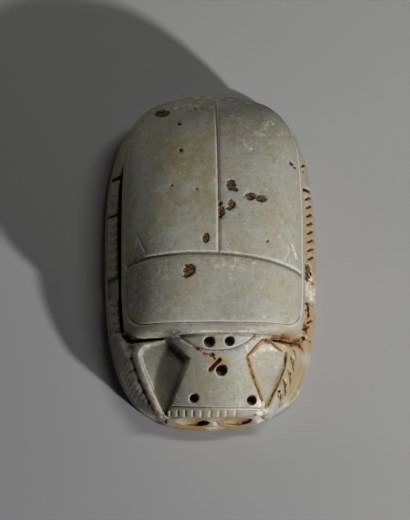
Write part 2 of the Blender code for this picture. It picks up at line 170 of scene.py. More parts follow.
LEG_HALF = 0.95
LEG_PROUD = {-1: 1.1, 1: 0.45}
KITE_SINK = {-1: (0.9, 3.4), 1: (0.0, 0.1)}
KITE_DRAFT = {-1: 0.18, 1: 0.3}
LEG_FOOT = 4.5
LEG_DRAFT = {-1: 0.1, 1: 0.25}
LEG_ROOT = ((12.4, -21.7), (15.2, -22.0), (17.0, -22.9))
LEG_KNEE = (17.7, -24.6)
LEG_TIP = (12.3, -37.4)
LEG_CURVE = 1.25
LEG_WEAR = 0.7                  # how pale the left fore leg is worn
RIM_PAINTED_LIGHT = 1.0                  # and the left bank's rim near the head, painted pale as painted light
RIM_INSET = 2.2
RIM_SPAN = (-31.5, -39.0)
WORN_FROM = -9.0
SIDE_LEGS = (
    (-1, -20.2, -10.7, -19.2, 4),
    (-1, -5.6, 9.1, -4.4, 7),
    (-1, 9.4, 18.0, 11.0, 2),
    (-1, 18.5, 29.5, 21.0, 0),
    (1, -20.2, -11.9, -16.4, 1),
    (1, -6.2, 15.2, -1.3, 8),
    (1, 15.7, 29.5, 20.9, 1),
)                               # side, start, end, first notch, number of notches
SIDE_LEG_OUT = 0.5
SIDE_LEG_LOW = 5.6
SIDE_LEG_HIGH = 10.6
HATCH_PITCH = 2.05
HATCH_LEAN = 1.0
HATCH_HALF = 0.34
GULLY_HALF = 0.28
GULLY_FLOOR = 9.0
BARBS = (
    (18.9, -23.6, 19.4, -24.7),
    (17.9, -25.2, 18.9, -27.4),
    (17.4, -28.4, 18.3, -30.3),
    (16.1, -30.6, 17.0, -33.0),
    (14.9, -33.0, 15.1, -34.5),
    (-19.2, -22.6, -20.1, -23.4),
    (-18.9, -25.2, -20.0, -26.2),
    (-18.0, -27.8, -19.4, -28.9),
    (-17.0, -30.4, -18.2, -31.7),
    (-15.7, -32.6, -16.8, -34.0),
    (-14.3, -34.8, -15.2, -36.0),
)                               # x and y of where each barb's cut starts and ends
BARB_HALF = {-1: 0.28, 1: 0.4}
BARB_SINK = 0.15
COMB_STROKES = 12
COMB_REAR = -26.5
COMB_FRONT = -37.2
COMB_INSET = 2.3
COMB_REACH = -1.6
COMB_WIDTH = 0.7
COMB_DEPTH = 0.32
CORNER_SLOT = {-1: (12.0, 0.28, 0.4, 90, 2.4), 1: (13.8, 0.2, 0.6, 50, 0.8)}
# the slot under each front corner of the back: inner end, half widths, turn in degrees and depth

FACE_NOTCH = ((0.4, -39.1, 10.4), (1.0, -39.9, 7.0), 0.45)
LIP_FOOT_DROP = 2.0
LIP_NOTCH = ((-11.5, -37.0, 16.0), (-11.9, -39.9, 8.0), 0.55)
PITS = (
    (20.1, -21.5, 10.6, 0.7),
    (21.6, -17.4, 10.6, 0.55),
    (21.9, -13.0, 10.4, 0.6),
    (22.3, -14.2, 10.0, 0.5),
    (22.4, -3.3, 9.6, 0.5),
    (22.7, -4.6, 9.4, 0.6),
    (22.5, -5.6, 9.2, 0.45),
    (21.9, 22.6, 9.8, 0.6),
    (21.7, 20.3, 9.9, 0.65),
)                               # x, y, z and radius of deep pits in the right flank

BLOTCHES = (
    (-11.9, 30.4, 1.7, 1.2),
    (3.6, 11.7, 1.1, 1.3),
    (4.3, 10.7, 0.7, 0.5),
    (7.9, 9.3, 1.4, 0.9),
    (10.3, 8.8, 1.5, 0.9),
    (3.5, 7.2, 0.9, 1.2),
    (2.9, 6.3, 0.8, 0.4),
    (1.2, 5.6, 0.8, 1.2),
    (0.9, 7.2, 0.4, 0.6),
    (1.0, 4.5, 0.5, 0.7),
    (-2.3, -0.4, 0.9, 1.1),
    (-6.1, -7.6, 1.4, 1.4),
    (-6.9, -8.9, 0.9, 0.6),
    (17.9, 18.3, 0.5, 0.5),
    (18.6, 17.6, 0.4, 0.3),
    (-8.0, 26.9, 0.4, 0.4),
    (-7.8, 20.1, 0.4, 0.4),
    (-4.3, 10.9, 0.35, 0.35),
    (-10.0, 11.8, 0.3, 0.3),
    (-4.2, 31.0, 0.35, 0.5),
    (11.7, -1.0, 0.35, 0.3),
    (11.9, -13.2, 0.3, 0.3),
    (-5.3, -23.5, 0.3, 0.25),
    (-4.2, -24.4, 0.25, 0.25),
    (-1.0, -25.9, 0.55, 0.45),
    (22.3, -3.6, 0.8, 1.5),
    (22.1, -5.6, 0.6, 0.6),
)                               # x, y and half sizes of each brown pitted patch
RUST_PATHS = (
    (((13.4, -21.9), (10.6, -22.5), (7.5, -25.9)), 0.34),
    (((7.5, -25.9), (8.4, -28.6), (9.6, -32.0), (10.9, -35.2)), 0.36),
    (((16.5, -24.4), (16.2, -27.6), (14.9, -31.0), (13.4, -33.8), (12.3, -36.3)), 0.32),
    (((11.0, -22.3), (13.2, -22.6), (15.6, -23.9)), 0.3),
    (((13.4, -21.7), (17.0, -22.0), (20.2, -20.6)), 0.65),
    (((19.9, -20.9), (21.2, -22.6)), 0.3),
    (((22.0, -11.8), (22.4, -13.4), (22.3, -15.4)), 0.35),
    (((21.2, -16.4), (21.9, -18.6)), 0.5),
    (((20.9, -18.0), (22.6, -17.2)), 0.4),
    (((15.4, -21.6), (18.0, -21.8), (20.4, -21.6)), 0.9),
    (((20.2, -21.6), (17.6, -22.5)), 0.4),
    (((18.6, -23.4), (19.2, -24.6)), 0.24),
    (((17.7, -25.0), (18.7, -27.3)), 0.3),
    (((17.2, -28.2), (18.1, -30.2)), 0.28),
    (((16.0, -30.4), (16.9, -33.0)), 0.3),
    (((14.7, -32.9), (14.9, -34.5)), 0.22),
    (((16.0, -33.6), (15.5, -35.6)), 0.2),
    (((0.9, -26.9), (-1.3, -29.1)), 0.42),
    (((-4.2, -39.5), (-1.6, -39.3)), 0.6),
    (((6.0, -39.4), (8.4, -39.0)), 0.5),
    (((-5.4, -23.9), (-3.4, -25.0)), 0.2),
    (((-2.9, -25.6), (-1.0, -25.9), (-0.2, -26.9)), 0.3),
)                               # corners in plan and half width of each brown line of dirt
RUST_DEPTH = 0.25
RUST_LOWEST = 5.0               # no rust lies below this, or on the face of the clypeus above the next
RUST_BELOW_LIP = 10.8
TAN_AREAS = (
    (18.5, -22.0, 5.0, 2.6, 1.0),
    (24.0, 4.0, 2.9, 15.0, 0.9),
    (24.0, -18.0, 3.6, 7.0, 1.0),
    (22.5, -28.0, 3.6, 6.0, 0.7),
    (23.0, 22.0, 2.4, 9.0, 0.75),
    (-5.0, -39.9, 5.4, 1.2, 1.0),
    (5.6, -39.8, 4.8, 1.2, 1.0),
    (12.8, -29.5, 6.5, 8.5, 0.45),
    (20.0, -30.0, 3.6, 7.0, 0.9),
    (17.0, -34.0, 4.0, 4.0, 0.5),
    (1.0, -27.5, 3.4, 2.8, 0.9),
    (-16.0, -36.0, 4.0, 2.6, 0.6),
    (-22.5, 22.0, 2.2, 8.0, 0.8),
    (-16.9, -1.5, 1.6, 1.8, 0.6),
    (18.0, -1.0, 1.6, 2.4, 0.6),
    (18.0, 30.0, 5.0, 4.0, 0.6),
)                               # x, y, half sizes and strength of each area
OLIVE_AREAS = (
    (19.0, -30.0, 4.0, 8.0, 0.6),
    (-6.0, 15.0, 9.0, 10.0, 0.75),
    (-3.0, 34.0, 11.0, 6.0, 0.45),
    (10.0, 26.0, 7.0, 7.0, 0.3),
    (-5.0, -5.5, 6.5, 1.6, 0.7),
    (2.4, -5.0, 0.9, 0.8, 1.0),
    (-21.0, 0.0, 3.5, 30.0, 0.5),
    (4.0, -33.0, 7.0, 5.0, 0.35),
)
PALE_AND_PAINTED_LIGHT_AREAS = (                  # and the same for the other stains; some pale areas are painted highlights, and the crust areas are partly painted shade
    (-2.0, 34.0, 13.0, 4.0, 0.4),
    (10.0, 25.0, 7.0, 8.0, 0.25),
    # painted highlight: the lit front edge of the back
    (-1.0, -21.25, 12.5, 0.2, 0.8),
    (5.0, -5.5, 5.0, 3.0, 0.35),
    (11.0, -37.6, 1.6, 2.2, 1.0),
    (0.0, -40.5, 2.2, 1.6, 0.9),
    (14.5, -22.9, 3.6, 1.4, 0.7),
    # painted light on the lit front of the left bank's rim, over its pale tone
    (-15.8, -37.0, 3.6, 1.6, 1.0),
    # pale pinkish tone, made paler as painted light on the lit front wall of the back's left corner
    (-17.0, -21.4, 5.0, 0.9, 0.9),
    (19.5, -33.0, 2.6, 4.0, 0.15),
    (9.5, -23.5, 3.0, 2.0, 0.5),
    (23.0, -8.0, 2.0, 2.4, 0.8),
)
# Painted shade as well as dark crust: these patches lie where shade falls on the left side, the kite in the
# head's cast shadow, the ditch by the left fore leg, the shaded left of the pronotum, the flank, the head's
# left wall and the notch by the lip.
CRUST_AND_SHADE_AREAS = (
    (-9.2, -23.6, 3.0, 3.4, 1.0),
    (-18.9, -24.5, 2.2, 5.0, 0.4),
    (-23.2, -24.0, 1.8, 7.0, 0.5),
    (-14.5, -9.5, 7.0, 9.0, 0.55),
    (-10.0, -32.0, 2.6, 5.5, 0.8),
    (-22.0, 0.0, 2.6, 24.0, 0.15),
    (-12.2, -38.6, 0.9, 1.6, 0.8),
)
PIT_DEPTH = 0.3
PIT_LOWEST = 8.0
HOLLOW_REACH = 1.2              # how far off stone makes a point a hollow, a gap or an edge
GAP_REACH = 3.5
EDGE_REACH = 0.8
FACE_FRONT = (-38.2, -38.7)     # the y and z over which the face below the clypeus begins
FACE_BELOW = (14.0, 12.5)

CELL = 0.25      # the grid's spacing
MARGIN = 1.5                            # empty grid around the carving
MOST_FACES = 195000
SEED = 11
FLAT = (1.0, 1.0, 0.0)                  # what a point is multiplied with to bring it into the plan


# ---------- small helpers

def mix(start, end, share):
    return start + (end - start) * share


def spaced(start, end, count):
    """The values from start to end in count even steps."""
    return [mix(start, end, step / count) for step in range(count + 1)]


def smooth_step(low, high, value):
    share = np.clip((value - low) / (high - low), 0.0, 1.0)
    return share * share * (3.0 - 2.0 * share)


def smooth_min(first, second, blend):
    """The lower of two distances, rounded over a width of about blend where they meet."""
    near = np.maximum(blend - np.abs(first - second), 0.0)
    return np.minimum(first, second) - near * near / (4.0 * blend)


def smooth_max(first, second, blend):
    return -smooth_min(-first, -second, blend)


def cell_corners(base, share):
    """The eight grid corners round each point, each with its weight at the point."""
    for corner in range(8):
        step = np.array([corner & 1, corner >> 1 & 1, corner >> 2 & 1])
        yield base + step, np.prod(np.where(step, share, 1.0 - share), axis=1)


def flat_noise(points, seed=0):
    """Smooth noise from -1 to 1 at points (n, 3), with features about one unit across."""
    size = 32
    lattice = np.random.default_rng(SEED + seed).uniform(-1.0, 1.0, (size, size, size)).astype(np.float32)
    base = np.floor(points).astype(np.int64)
    share = (points - base).astype(np.float32)
    share = share * share * (3.0 - 2.0 * share)
    total = np.zeros(len(points), np.float32)
    for corner, weight in cell_corners(base, share):
        i, j, k = (corner % size).T
        total += weight * lattice[i, j, k]
    return total


def layered_noise(points, size, layers=3, seed=0):
    """Noise whose largest features are about size across, with finer layers on top."""
    total = np.zeros(len(points), np.float32)
    for layer in range(layers):
        total += flat_noise(points * (2.0 ** layer / size) + 7.3 * layer, seed + layer) * 0.5 ** layer
    return total


def plan_distance(x, y, plan):
    """Distance in plan from a window's points to a line of (x, y) corners."""
    flat_x, flat_y = np.broadcast_arrays(x[:, :, 0], y[:, :, 0])
    points = np.stack([flat_x.ravel(), flat_y.ravel(), np.zeros(flat_x.size)], axis=1)
    gap = path_distance(points, [(px, py, 0.0) for px, py in plan])
    return gap.reshape(flat_x.shape)[:, :, None].astype(np.float32)


def inside_plan(x, y, ring):
    """Whether a window's points are inside a ring of (x, y) corners."""
    inside = np.zeros(np.broadcast(x[:, :, 0], y[:, :, 0]).shape, bool)
    for (start_x, start_y), (end_x, end_y) in zip(ring, ring[1:]):
        if start_y != end_y:
            crosses = (start_y > y[:, :, 0]) != (end_y > y[:, :, 0])
            at = start_x + (y[:, :, 0] - start_y) * (end_x - start_x) / (end_y - start_y)
            inside ^= crosses & (x[:, :, 0] < at)
    return inside[:, :, None]


def path_distance(points, path):
    """Distance from points (n, 3) to a path through space."""
    path = np.asarray(path, float)
    best = np.full(len(points), 1e9)
    for start, end in zip(path, path[1:]):
        step = end - start
        share = np.clip((points - start) @ step / (step @ step), 0.0, 1.0)
        best = np.minimum(best, np.linalg.norm(points - start - share[:, None] * step, axis=1))
    return best


# ---------- surfaces, as functions of x and y

def superellipse_gap(x, y, half_width, half_length, power):
    """Distance from a superellipse's outline in plan, negative inside."""
    across, along = np.abs(x) / half_width, np.abs(y) / half_length
    size = np.maximum((across ** power + along ** power) ** (1.0 / power), 1e-3)
    slope = np.hypot((across / size) ** (power - 1.0) / half_width,
                     (along / size) ** (power - 1.0) / half_length)
    return (size - 1.0) / np.maximum(slope, 1e-3)


def bulges(x, y, table):
    """How high each of a table's soft round bulges is at x and y."""
    return [depth * np.exp(-((x - at_x) ** 2 + (y - at_y) ** 2) / (2.0 * reach ** 2))
            for at_x, at_y, reach, depth in table]


def arched(share, power):
    """The height of a superellipse of half width and height 1; share is how far out, from 0 to 1."""
    return (1.0 - share ** power) ** (1.0 / power)


def plate_gap(x, y):
    gap = superellipse_gap(x, y - PLATE_MIDDLE, WIDTH / 2, LENGTH / 2, OUTLINE_POWER)
    return sum(bulges(x, y, OUTLINE_SHAVES), gap)


def plate_half(y):
    share = np.clip(np.abs(y - PLATE_MIDDLE) / (LENGTH / 2), 0.0, 1.0)
    return WIDTH / 2 * arched(share, OUTLINE_POWER)


def back_half(y):
    share = np.clip(np.abs(y) / BACK_REAR, 0.0, 0.985)
    half = BACK_HALF_WIDTH * arched(share, BACK_OUTLINE_POWER)
    into_corner = np.clip(BACK_CORNER - (y - BACK_FRONT), 0.0, 0.97 * BACK_CORNER)
    return half - (BACK_CORNER - np.sqrt(BACK_CORNER ** 2 - into_corner ** 2))


def back_swell(x, y):
    """Where the back bulges beyond its even outline, by the rear corners."""
    return sum(bulges(x, y, BACK_SWELLS))


def back_crest(y):
    rise = HEIGHT - BACK_FOOT
    behind = np.clip((y - BACK_CREST_Y) / (BACK_REAR - BACK_CREST_Y), 0.0, 0.985)
    ahead = np.clip((BACK_CREST_Y - y) / (BACK_CREST_Y - BACK_FRONT), 0.0, None)
    rear = rise * arched(behind, BACK_REAR_POWER)
    return np.where(y > BACK_CREST_Y, rear, rise - PRONOTUM_FALL * ahead ** PRONOTUM_CURVE)


def back_height(x, y):
    across = np.clip(np.abs(x) / back_half(y), 0.0, 1.0)
    return BACK_FOOT + back_crest(y) * arched(across, BACK_POWER)


def front_share(y):
    """0 at the back's front edge, 1 at the front of the head."""
    return (BACK_FRONT - y) / (BACK_FRONT - HEAD_FRONT)


def floor_height(x, y):
    """The ground that the head and the fore legs stand on, which falls away sideways."""
    share = front_share(y)
    drop = mix(FLOOR_DROP, FLOOR_DROP_FRONT, share)
    return mix(FLOOR_BACK, FLOOR_FRONT, share) - drop * (x / LEG_SPREAD) ** 2


def bank_foot(y):
    return plate_half(y) - BANK_INSET


def shoulder_half(y):
    half = mix(SHOULDER_BACK, SHOULDER_FRONT, np.maximum(front_share(y), 0.0) ** SHOULDER_CURVE)
    return np.minimum(half, bank_foot(y) - 0.3)


def bank_height(x, y):
    """The floor beside the head, and the bulging bank outside the fore legs."""
    left = x < 0.0
    half = shoulder_half(y)
    foot = np.where(left, plate_half(y) - RIM_GAP, bank_foot(y))
    low = np.where(left, RIM_LOW, BANK_LOW)
    share = np.clip((np.abs(x) - half) / (foot - half), 0.0, 1.0)
    top = floor_height(np.minimum(np.abs(x), half), y)
    curve = np.where(left, BANK_CURVE[-1], BANK_CURVE[1])
    sink = np.where(left, BANK_SINK[-1], BANK_SINK[1]) * smooth_step(0.0, 0.08, share)
    valley = np.where(left, VALLEY_DEPTH, 0.0) * smooth_step(0.0, 0.1, share)
    valley = valley * smooth_step(VALLEY_END, 0.5 * VALLEY_END, share)
    return mix(top - sink, low, share ** curve) - valley


def head_half(y):
    behind = (y - HEAD_WAIST_Y) / (HEAD_BACK - HEAD_WAIST_Y)
    ahead = (HEAD_WAIST_Y - y) / (HEAD_WAIST_Y - HEAD_FRONT)
    return np.where(y > HEAD_WAIST_Y, mix(HEAD_WAIST_HALF, HEAD_BACK_HALF, behind),
                    mix(HEAD_WAIST_HALF, HEAD_FRONT_HALF, ahead))


def head_height(x, y):
    middle = mix(HEAD_TOP, HEAD_LOW, front_share(y))
    return middle - HEAD_CROWN * ((x - HEAD_CROWN_X) / HEAD_FRONT_HALF) ** 2


def lip_bow(x):
    return LIP_BOW * (x / LIP_HALF) ** 2


def leg_plan(side):
    """The middle line of a fore leg in plan, from where it leaves the back, round the knee, to its tip."""
    plan = [*LEG_ROOT, LEG_KNEE]
    for share in spaced(0.0, 1.0, 12)[1:]:
        x = mix(LEG_KNEE[0], LEG_TIP[0], share ** LEG_CURVE)
        plan.append((x, mix(LEG_KNEE[1], LEG_TIP[1], share)))
    return [(side * x, y) for x, y in plan]


# ---------- the block that is carved

class Block:
    """Signed distances on a grid: negative in stone, positive in air."""

    def __init__(self, low, high):
        self.low = np.array(low, np.float32)
        counts = [int(math.ceil((high[k] - low[k]) / CELL)) + 1 for k in range(3)]
        self.axes = [self.low[k] + CELL * np.arange(counts[k], dtype=np.float32) for k in range(3)]
        self.gap = np.full(counts, 8.0, np.float32)

    def window(self, low, high):
        parts = []
        for k in range(3):
            start = max(int((low[k] - self.low[k]) / CELL), 0)
            stop = min(int((high[k] - self.low[k]) / CELL) + 2, len(self.axes[k]))
            parts.append(slice(start, stop))
        x, y, z = (self.axes[k][parts[k]] for k in range(3))
        return tuple(parts), x[:, None, None], y[None, :, None], z[None, None, :]

    def add(self, low, high, shape, blend):
        part, x, y, z = self.window(low, high)
        self.gap[part] = smooth_min(self.gap[part], shape(x, y, z), blend)

    def cut(self, low, high, shape, blend):
        part, x, y, z = self.window(low, high)
        self.gap[part] = smooth_max(self.gap[part], -shape(x, y, z), blend)

    def sample(self, points):
        """The distance at points (n, 3), interpolated."""
        place = (points - self.low) / CELL
        base = np.clip(np.floor(place).astype(np.int64), 0, np.array(self.gap.shape) - 2)
        share = np.clip(place - base, 0.0, 1.0)
        total = np.zeros(len(points))
        for corner, weight in cell_corners(base, share):
            i, j, k = corner.T
            total += weight * self.gap[i, j, k]
        return total

    def normals(self, points):
        """Unit vectors out of the stone at points (n, 3), and the steepness of the distance there."""
        slope = np.stack([self.sample(points + step) - self.sample(points - step)
                          for step in np.eye(3) * CELL], axis=1) / (2.0 * CELL)
        size = np.maximum(np.linalg.norm(slope, axis=1, keepdims=True), 1e-6)
        return slope / size, size[:, 0]

    def surface(self):
        """Points and four-sided faces of the zero surface, by surface nets."""
        gap, inside = self.gap, self.gap < 0.0
        corners = [(i, j, k) for i in (0, 1) for j in (0, 1) for k in (0, 1)]
        shape = np.array(gap.shape) - 1

        def shifted(grid, step):
            return grid[tuple(slice(s, s + n) for s, n in zip(step, shape))]

        filled = sum(shifted(inside, step).astype(np.int8) for step in corners)
        cells = np.argwhere((filled > 0) & (filled < 8))
        number = np.full(shape, -1, np.int32)
        number[tuple(cells.T)] = np.arange(len(cells))
        total, count = np.zeros((len(cells), 3)), np.zeros(len(cells))
        for start in corners:
            for axis in range(3):
                if start[axis]:
                    continue
                end = tuple(value + (k == axis) for k, value in enumerate(start))
                first = gap[tuple((cells + start).T)]
                second = gap[tuple((cells + end).T)]
                crossed = (first < 0.0) != (second < 0.0)
                share = first[crossed] / (first[crossed] - second[crossed])
                spot = np.array(start) + share[:, None] * (np.array(end) - start)
                total[crossed] += spot
                count[crossed] += 1
        points = self.low + CELL * (cells + total / count[:, None])
        faces = []
        for axis in range(3):
            side, other = (axis + 1) % 3, (axis + 2) % 3
            along = np.eye(3, dtype=int)[axis]
            here = inside[tuple(slice(0, n) for n in shape)]
            crossing = np.argwhere(here != shifted(inside, along))
            crossing = crossing[(crossing[:, side] > 0) & (crossing[:, other] > 0)]
            a, b = np.eye(3, dtype=int)[side], np.eye(3, dtype=int)[other]
            ring = [number[tuple((crossing - step).T)] for step in (0 * a, a, a + b, b)]
            quads = np.stack(ring, axis=1)
            outward = here[tuple(crossing.T)]
            quads[~outward] = quads[~outward][:, ::-1]
            faces.append(quads)
        return points, np.concatenate(faces)


# ---------- the solids

def level_gap(level):
    """A distance from any smooth level function on a window, made even by its own slope."""
    slope = np.gradient(level, CELL)
    return level / np.maximum(np.sqrt(sum(part * part for part in slope)), 1e-3)


def slab_gap(x, y, z, height):
    """Distance below a surface given by its height over the window's plan."""
    top = height(x[:, :, 0], y[:, :, 0])
    slope_x, slope_y = np.gradient(top, CELL)
    return (z - top[:, :, None]) / np.sqrt(1.0 + slope_x ** 2 + slope_y ** 2)[:, :, None]


def plate(x, y, z):
    side = plate_gap(x, y) + PLATE_ROUND
    face = np.abs(z - PLATE_TOP / 2) - PLATE_TOP / 2 + PLATE_ROUND
    outside = np.hypot(np.maximum(side, 0.0), np.maximum(face, 0.0))
    return outside + np.minimum(np.maximum(side, face), 0.0) - PLATE_ROUND


def skirt(x, y, z):
    share = np.clip((z - PLATE_TOP + 1.2) / (SKIRT_TOP - PLATE_TOP + 1.2), 0.0, 1.0) ** 1.5
    rear = smooth_step(20.0, 36.0, np.abs(y))
    inset = mix(SKIRT_INSET_LOW, mix(SKIRT_INSET_HIGH, SKIRT_INSET_ENDS, rear), share)
    side = plate_gap(x, y) + inset
    return np.maximum(np.maximum(side, z - SKIRT_TOP), SKIRT_FRONT - y)


def back(x, y, z):
    half, crest = back_half(y) + back_swell(x, y), back_crest(y)
    rise = np.maximum(z - BACK_FOOT, 0.0) / crest
    size = ((np.abs(x) / half) ** BACK_POWER + rise ** BACK_POWER) ** (1.0 / BACK_POWER)
    dome = level_gap(size - 1.0)
    plan = superellipse_gap(x, y, BACK_HALF_WIDTH, BACK_REAR, BACK_OUTLINE_POWER) - back_swell(x, y)
    dome = np.maximum(dome, plan)
    dome = smooth_max(dome, BACK_FRONT - y + 0.0 * x, 0.25)
    return np.maximum(dome, BACK_FOOT - 0.5 - z)


def front_block(x, y, z):
    ground = slab_gap(x, y, z, bank_height)
    side = smooth_max(plate_gap(x, y) + 0.3, FRONT_END - y, 0.5)
    return np.maximum(smooth_max(ground, side, 0.6), y + 19.0)


def head(x, y, z):
    top = slab_gap(x, y, z, head_height)
    lean = np.where(x < HEAD_X, HEAD_DRAFT[-1], HEAD_DRAFT[1]) * np.clip(head_height(x, y) - z, 0.0, 4.0)
    turn = (HEAD_BACK_HALF - HEAD_WAIST_HALF) / (HEAD_BACK - HEAD_WAIST_Y)
    narrow = np.where(y > HEAD_WAIST_Y, 1.0 / math.hypot(1.0, turn), 0.92)
    side = (np.abs(x - HEAD_X) - head_half(y) - lean) * narrow
    body = smooth_max(top, side, 0.5)
    return np.maximum(np.maximum(body, y - HEAD_BACK), HEAD_FRONT - y)


def lip(x, y, z):
    top = head_height(x, HEAD_FRONT)
    edge = top - LIP_EDGE_DROP
    bow = lip_bow(x)
    slope = LIP_FRONT + bow + LIP_REACH * (z - edge) / LIP_EDGE_DROP
    under = np.clip((edge - 0.8 - z) / (edge - 0.8 - BANK_LOW), 0.0, 1.0)
    wall = mix(LIP_FRONT + LIP_UNDERCUT, FACE_FOOT, under) + bow
    below = smooth_step(0.0, 0.8, edge - z)
    face = mix(np.maximum(slope, LIP_FRONT + bow), wall, below) - y
    body = smooth_max(0.8 * face, z - top - 0.05, 0.5)
    body = np.maximum(body, np.abs(x) - LIP_HALF)
    return np.maximum(body, y - LIP_BACK)


def fore_leg(side):
    plan = leg_plan(side)

    def shape(x, y, z):
        gap = plan_distance(x, y, plan)
        ground = floor_height(x, y)
        ridge = ground + LEG_PROUD[side] - 0.25 * (gap / LEG_HALF) ** 2
        depth = np.clip(ground + LEG_PROUD[side] - z, 0.0, 3.0)
        body = smooth_max(z - ridge, (gap - LEG_HALF - LEG_DRAFT[side] * depth) * 0.96, 0.3)
        return np.maximum(body, ground - LEG_FOOT - z)

    return shape


def kite(side):
    """The sunk ground between the head and the fore leg."""
    plan = leg_plan(side)
    ring = plan + [(side * 11.2, -41.0), (0.0, -41.0), (0.0, -21.4), plan[0]]

    def shape(x, y, z):
        gap = plan_distance(x, y, ring)
        inside = inside_plan(x, y, ring)
        edge = np.where(inside, -gap, gap) + LEG_HALF
        ground = floor_height(x, y) - mix(*KITE_SINK[side], np.clip(front_share(y), 0.0, 1.0))
        return smooth_max((edge - KITE_DRAFT[side] * np.clip(z - ground, 0.0, 4.5)) * 0.95, ground - z, 0.3)

    return shape


def side_leg(start, end):
    """A leg folded along the side: a bar that follows the plate's outline and slopes outwards."""
    middle_y, half_y = 0.5 * (start + end), 0.5 * (end - start)
    middle_z, half_z = 0.5 * (SIDE_LEG_LOW + SIDE_LEG_HIGH), 0.5 * (SIDE_LEG_HIGH - SIDE_LEG_LOW)

    def shape(x, y, z):
        out = plate_gap(x, y) + SIDE_LEG_OUT
        slope = 0.85 * (out + 0.55 * np.maximum(z - middle_z + 0.6, 0.0))
        body = smooth_max(np.abs(z - middle_z) - half_z, slope, 0.5)
        body = np.maximum(body, -4.2 - out)
        return smooth_max(body, np.abs(y - middle_y) - half_y, 0.6)

    return shape


def gully(x, y, z):
    """The dark channel between the left side legs and the foot of the back."""
    plan = superellipse_gap(x, y, BACK_HALF_WIDTH, BACK_REAR, BACK_OUTLINE_POWER)
    narrow = GULLY_HALF * (1.0 - smooth_step(14.0, 22.0, y) - smooth_step(17.0, 20.0, -y))
    return np.maximum(np.abs(plan - 0.1) - narrow, GULLY_FLOOR - z)


def corner_slot(side):
    """The undercut line round a front corner of the back, cut into the ground ahead of it."""
    inner, half_in, half_out, last_turn, depth = CORNER_SLOT[side]
    centre = (BACK_HALF_WIDTH - BACK_CORNER, BACK_FRONT + BACK_CORNER)
    plan = [(inner, BACK_FRONT - half_in)]
    for turn in range(0, last_turn + 1, 10):
        angle = math.radians(turn)
        reach = BACK_CORNER + mix(half_in, half_out, turn / last_turn)
        plan.append((centre[0] + reach * math.sin(angle), centre[1] - reach * math.cos(angle)))
    plan = [(side * x, y) for x, y in plan]

    def shape(x, y, z):
        gap = plan_distance(x, y, plan)
        half = mix(half_in, half_out, np.clip((np.abs(x) - inner) / (BACK_HALF_WIDTH - inner), 0.0, 1.0))
        return np.maximum(gap - half, bank_height(x, y) - depth - z)

    return shape


def lump(centre, half):
    def shape(x, y, z):
        return np.sqrt((x - centre[0]) ** 2 + (y - centre[1]) ** 2 + (z - centre[2]) ** 2) - half

    return shape


# ---------- the cuts

def scoop(centre, half_wide):
    wall = 0.5 * (LIP_FRONT + FACE_FOOT) + lip_bow(centre) + SCOOP_SINK
    halves = (half_wide, SCOOP_HALF_DEEP, SCOOP_HALF_HIGH)

    def shape(x, y, z):
        offsets = (x - centre, y - wall, z - SCOOP_Z)
        size = np.sqrt(sum((offset / half) ** 2 for offset, half in zip(offsets, halves)))
        steep = np.sqrt(sum((offset / half ** 2) ** 2 for offset, half in zip(offsets, halves)))
        return size * (size - 1.0) / np.maximum(steep, 1e-3)

    return shape


def drilled_hole(hole_x, hole_y, diameter):
    def shape(x, y, z):
        mouth = head_height(hole_x, hole_y)
        radius = diameter / 2 * (1.0 + 0.10 * np.clip(z - mouth + 0.6, 0.0, 1.0))
        return np.maximum(np.hypot(x - hole_x, y - hole_y) - radius, mouth - HOLE_DEPTH - z)

    return shape


def bar_cut(start, end, half):
    """A rounded bar from start to end, to cut a notch with."""
    start, end = np.array(start, float), np.array(end, float)
    step = end - start

    def shape(x, y, z):
        offsets = (x - start[0], y - start[1], z - start[2])
        share = sum(offset * part for offset, part in zip(offsets, step)) / (step @ step)
        share = np.clip(share, 0.0, 1.0)
        return np.sqrt(sum((offset - share * part) ** 2 for offset, part in zip(offsets, step))) - half

    return shape


def around(points, margin):
    points = np.asarray(points, float)
    return points.min(0) - margin, points.max(0) + margin


def notch(block, start, end, half):
    low, high = around((start, end), half + 1.0)
    block.cut(low, high, bar_cut(start, end, half), 0.15)


def stroke(block, start, end, half, sink):
    """A notch that follows the bank's surface from one plan point to another."""
    plan = zip(spaced(start[0], end[0], 4), spaced(start[1], end[1], 4))
    path = [(x, y, float(bank_height(x, y)) - sink) for x, y in plan]
    for first, second in zip(path, path[1:]):
        notch(block, first, second, half)


def leg_point(side, y, z):
    """A point on the sloping top of a side leg."""
    out = float(plate_half(y)) - SIDE_LEG_OUT
    return (side * (out - 0.55 * max(z - 7.5, 0.0)), y, z)


def carve_hatching(block):
    for side, _, _, first, count in SIDE_LEGS:
        for step in range(count):
            y = first + HATCH_PITCH * step
            inner = leg_point(side, y, SIDE_LEG_HIGH + 0.35)
            outer = leg_point(side, y + HATCH_LEAN, 8.3)
            notch(block, inner, outer, HATCH_HALF)
    for x_from, y_from, x_to, y_to in BARBS:
        half = BARB_HALF[1] if x_from > 0.0 else BARB_HALF[-1]
        stroke(block, (x_from, y_from), (x_to, y_to), half, BARB_SINK)


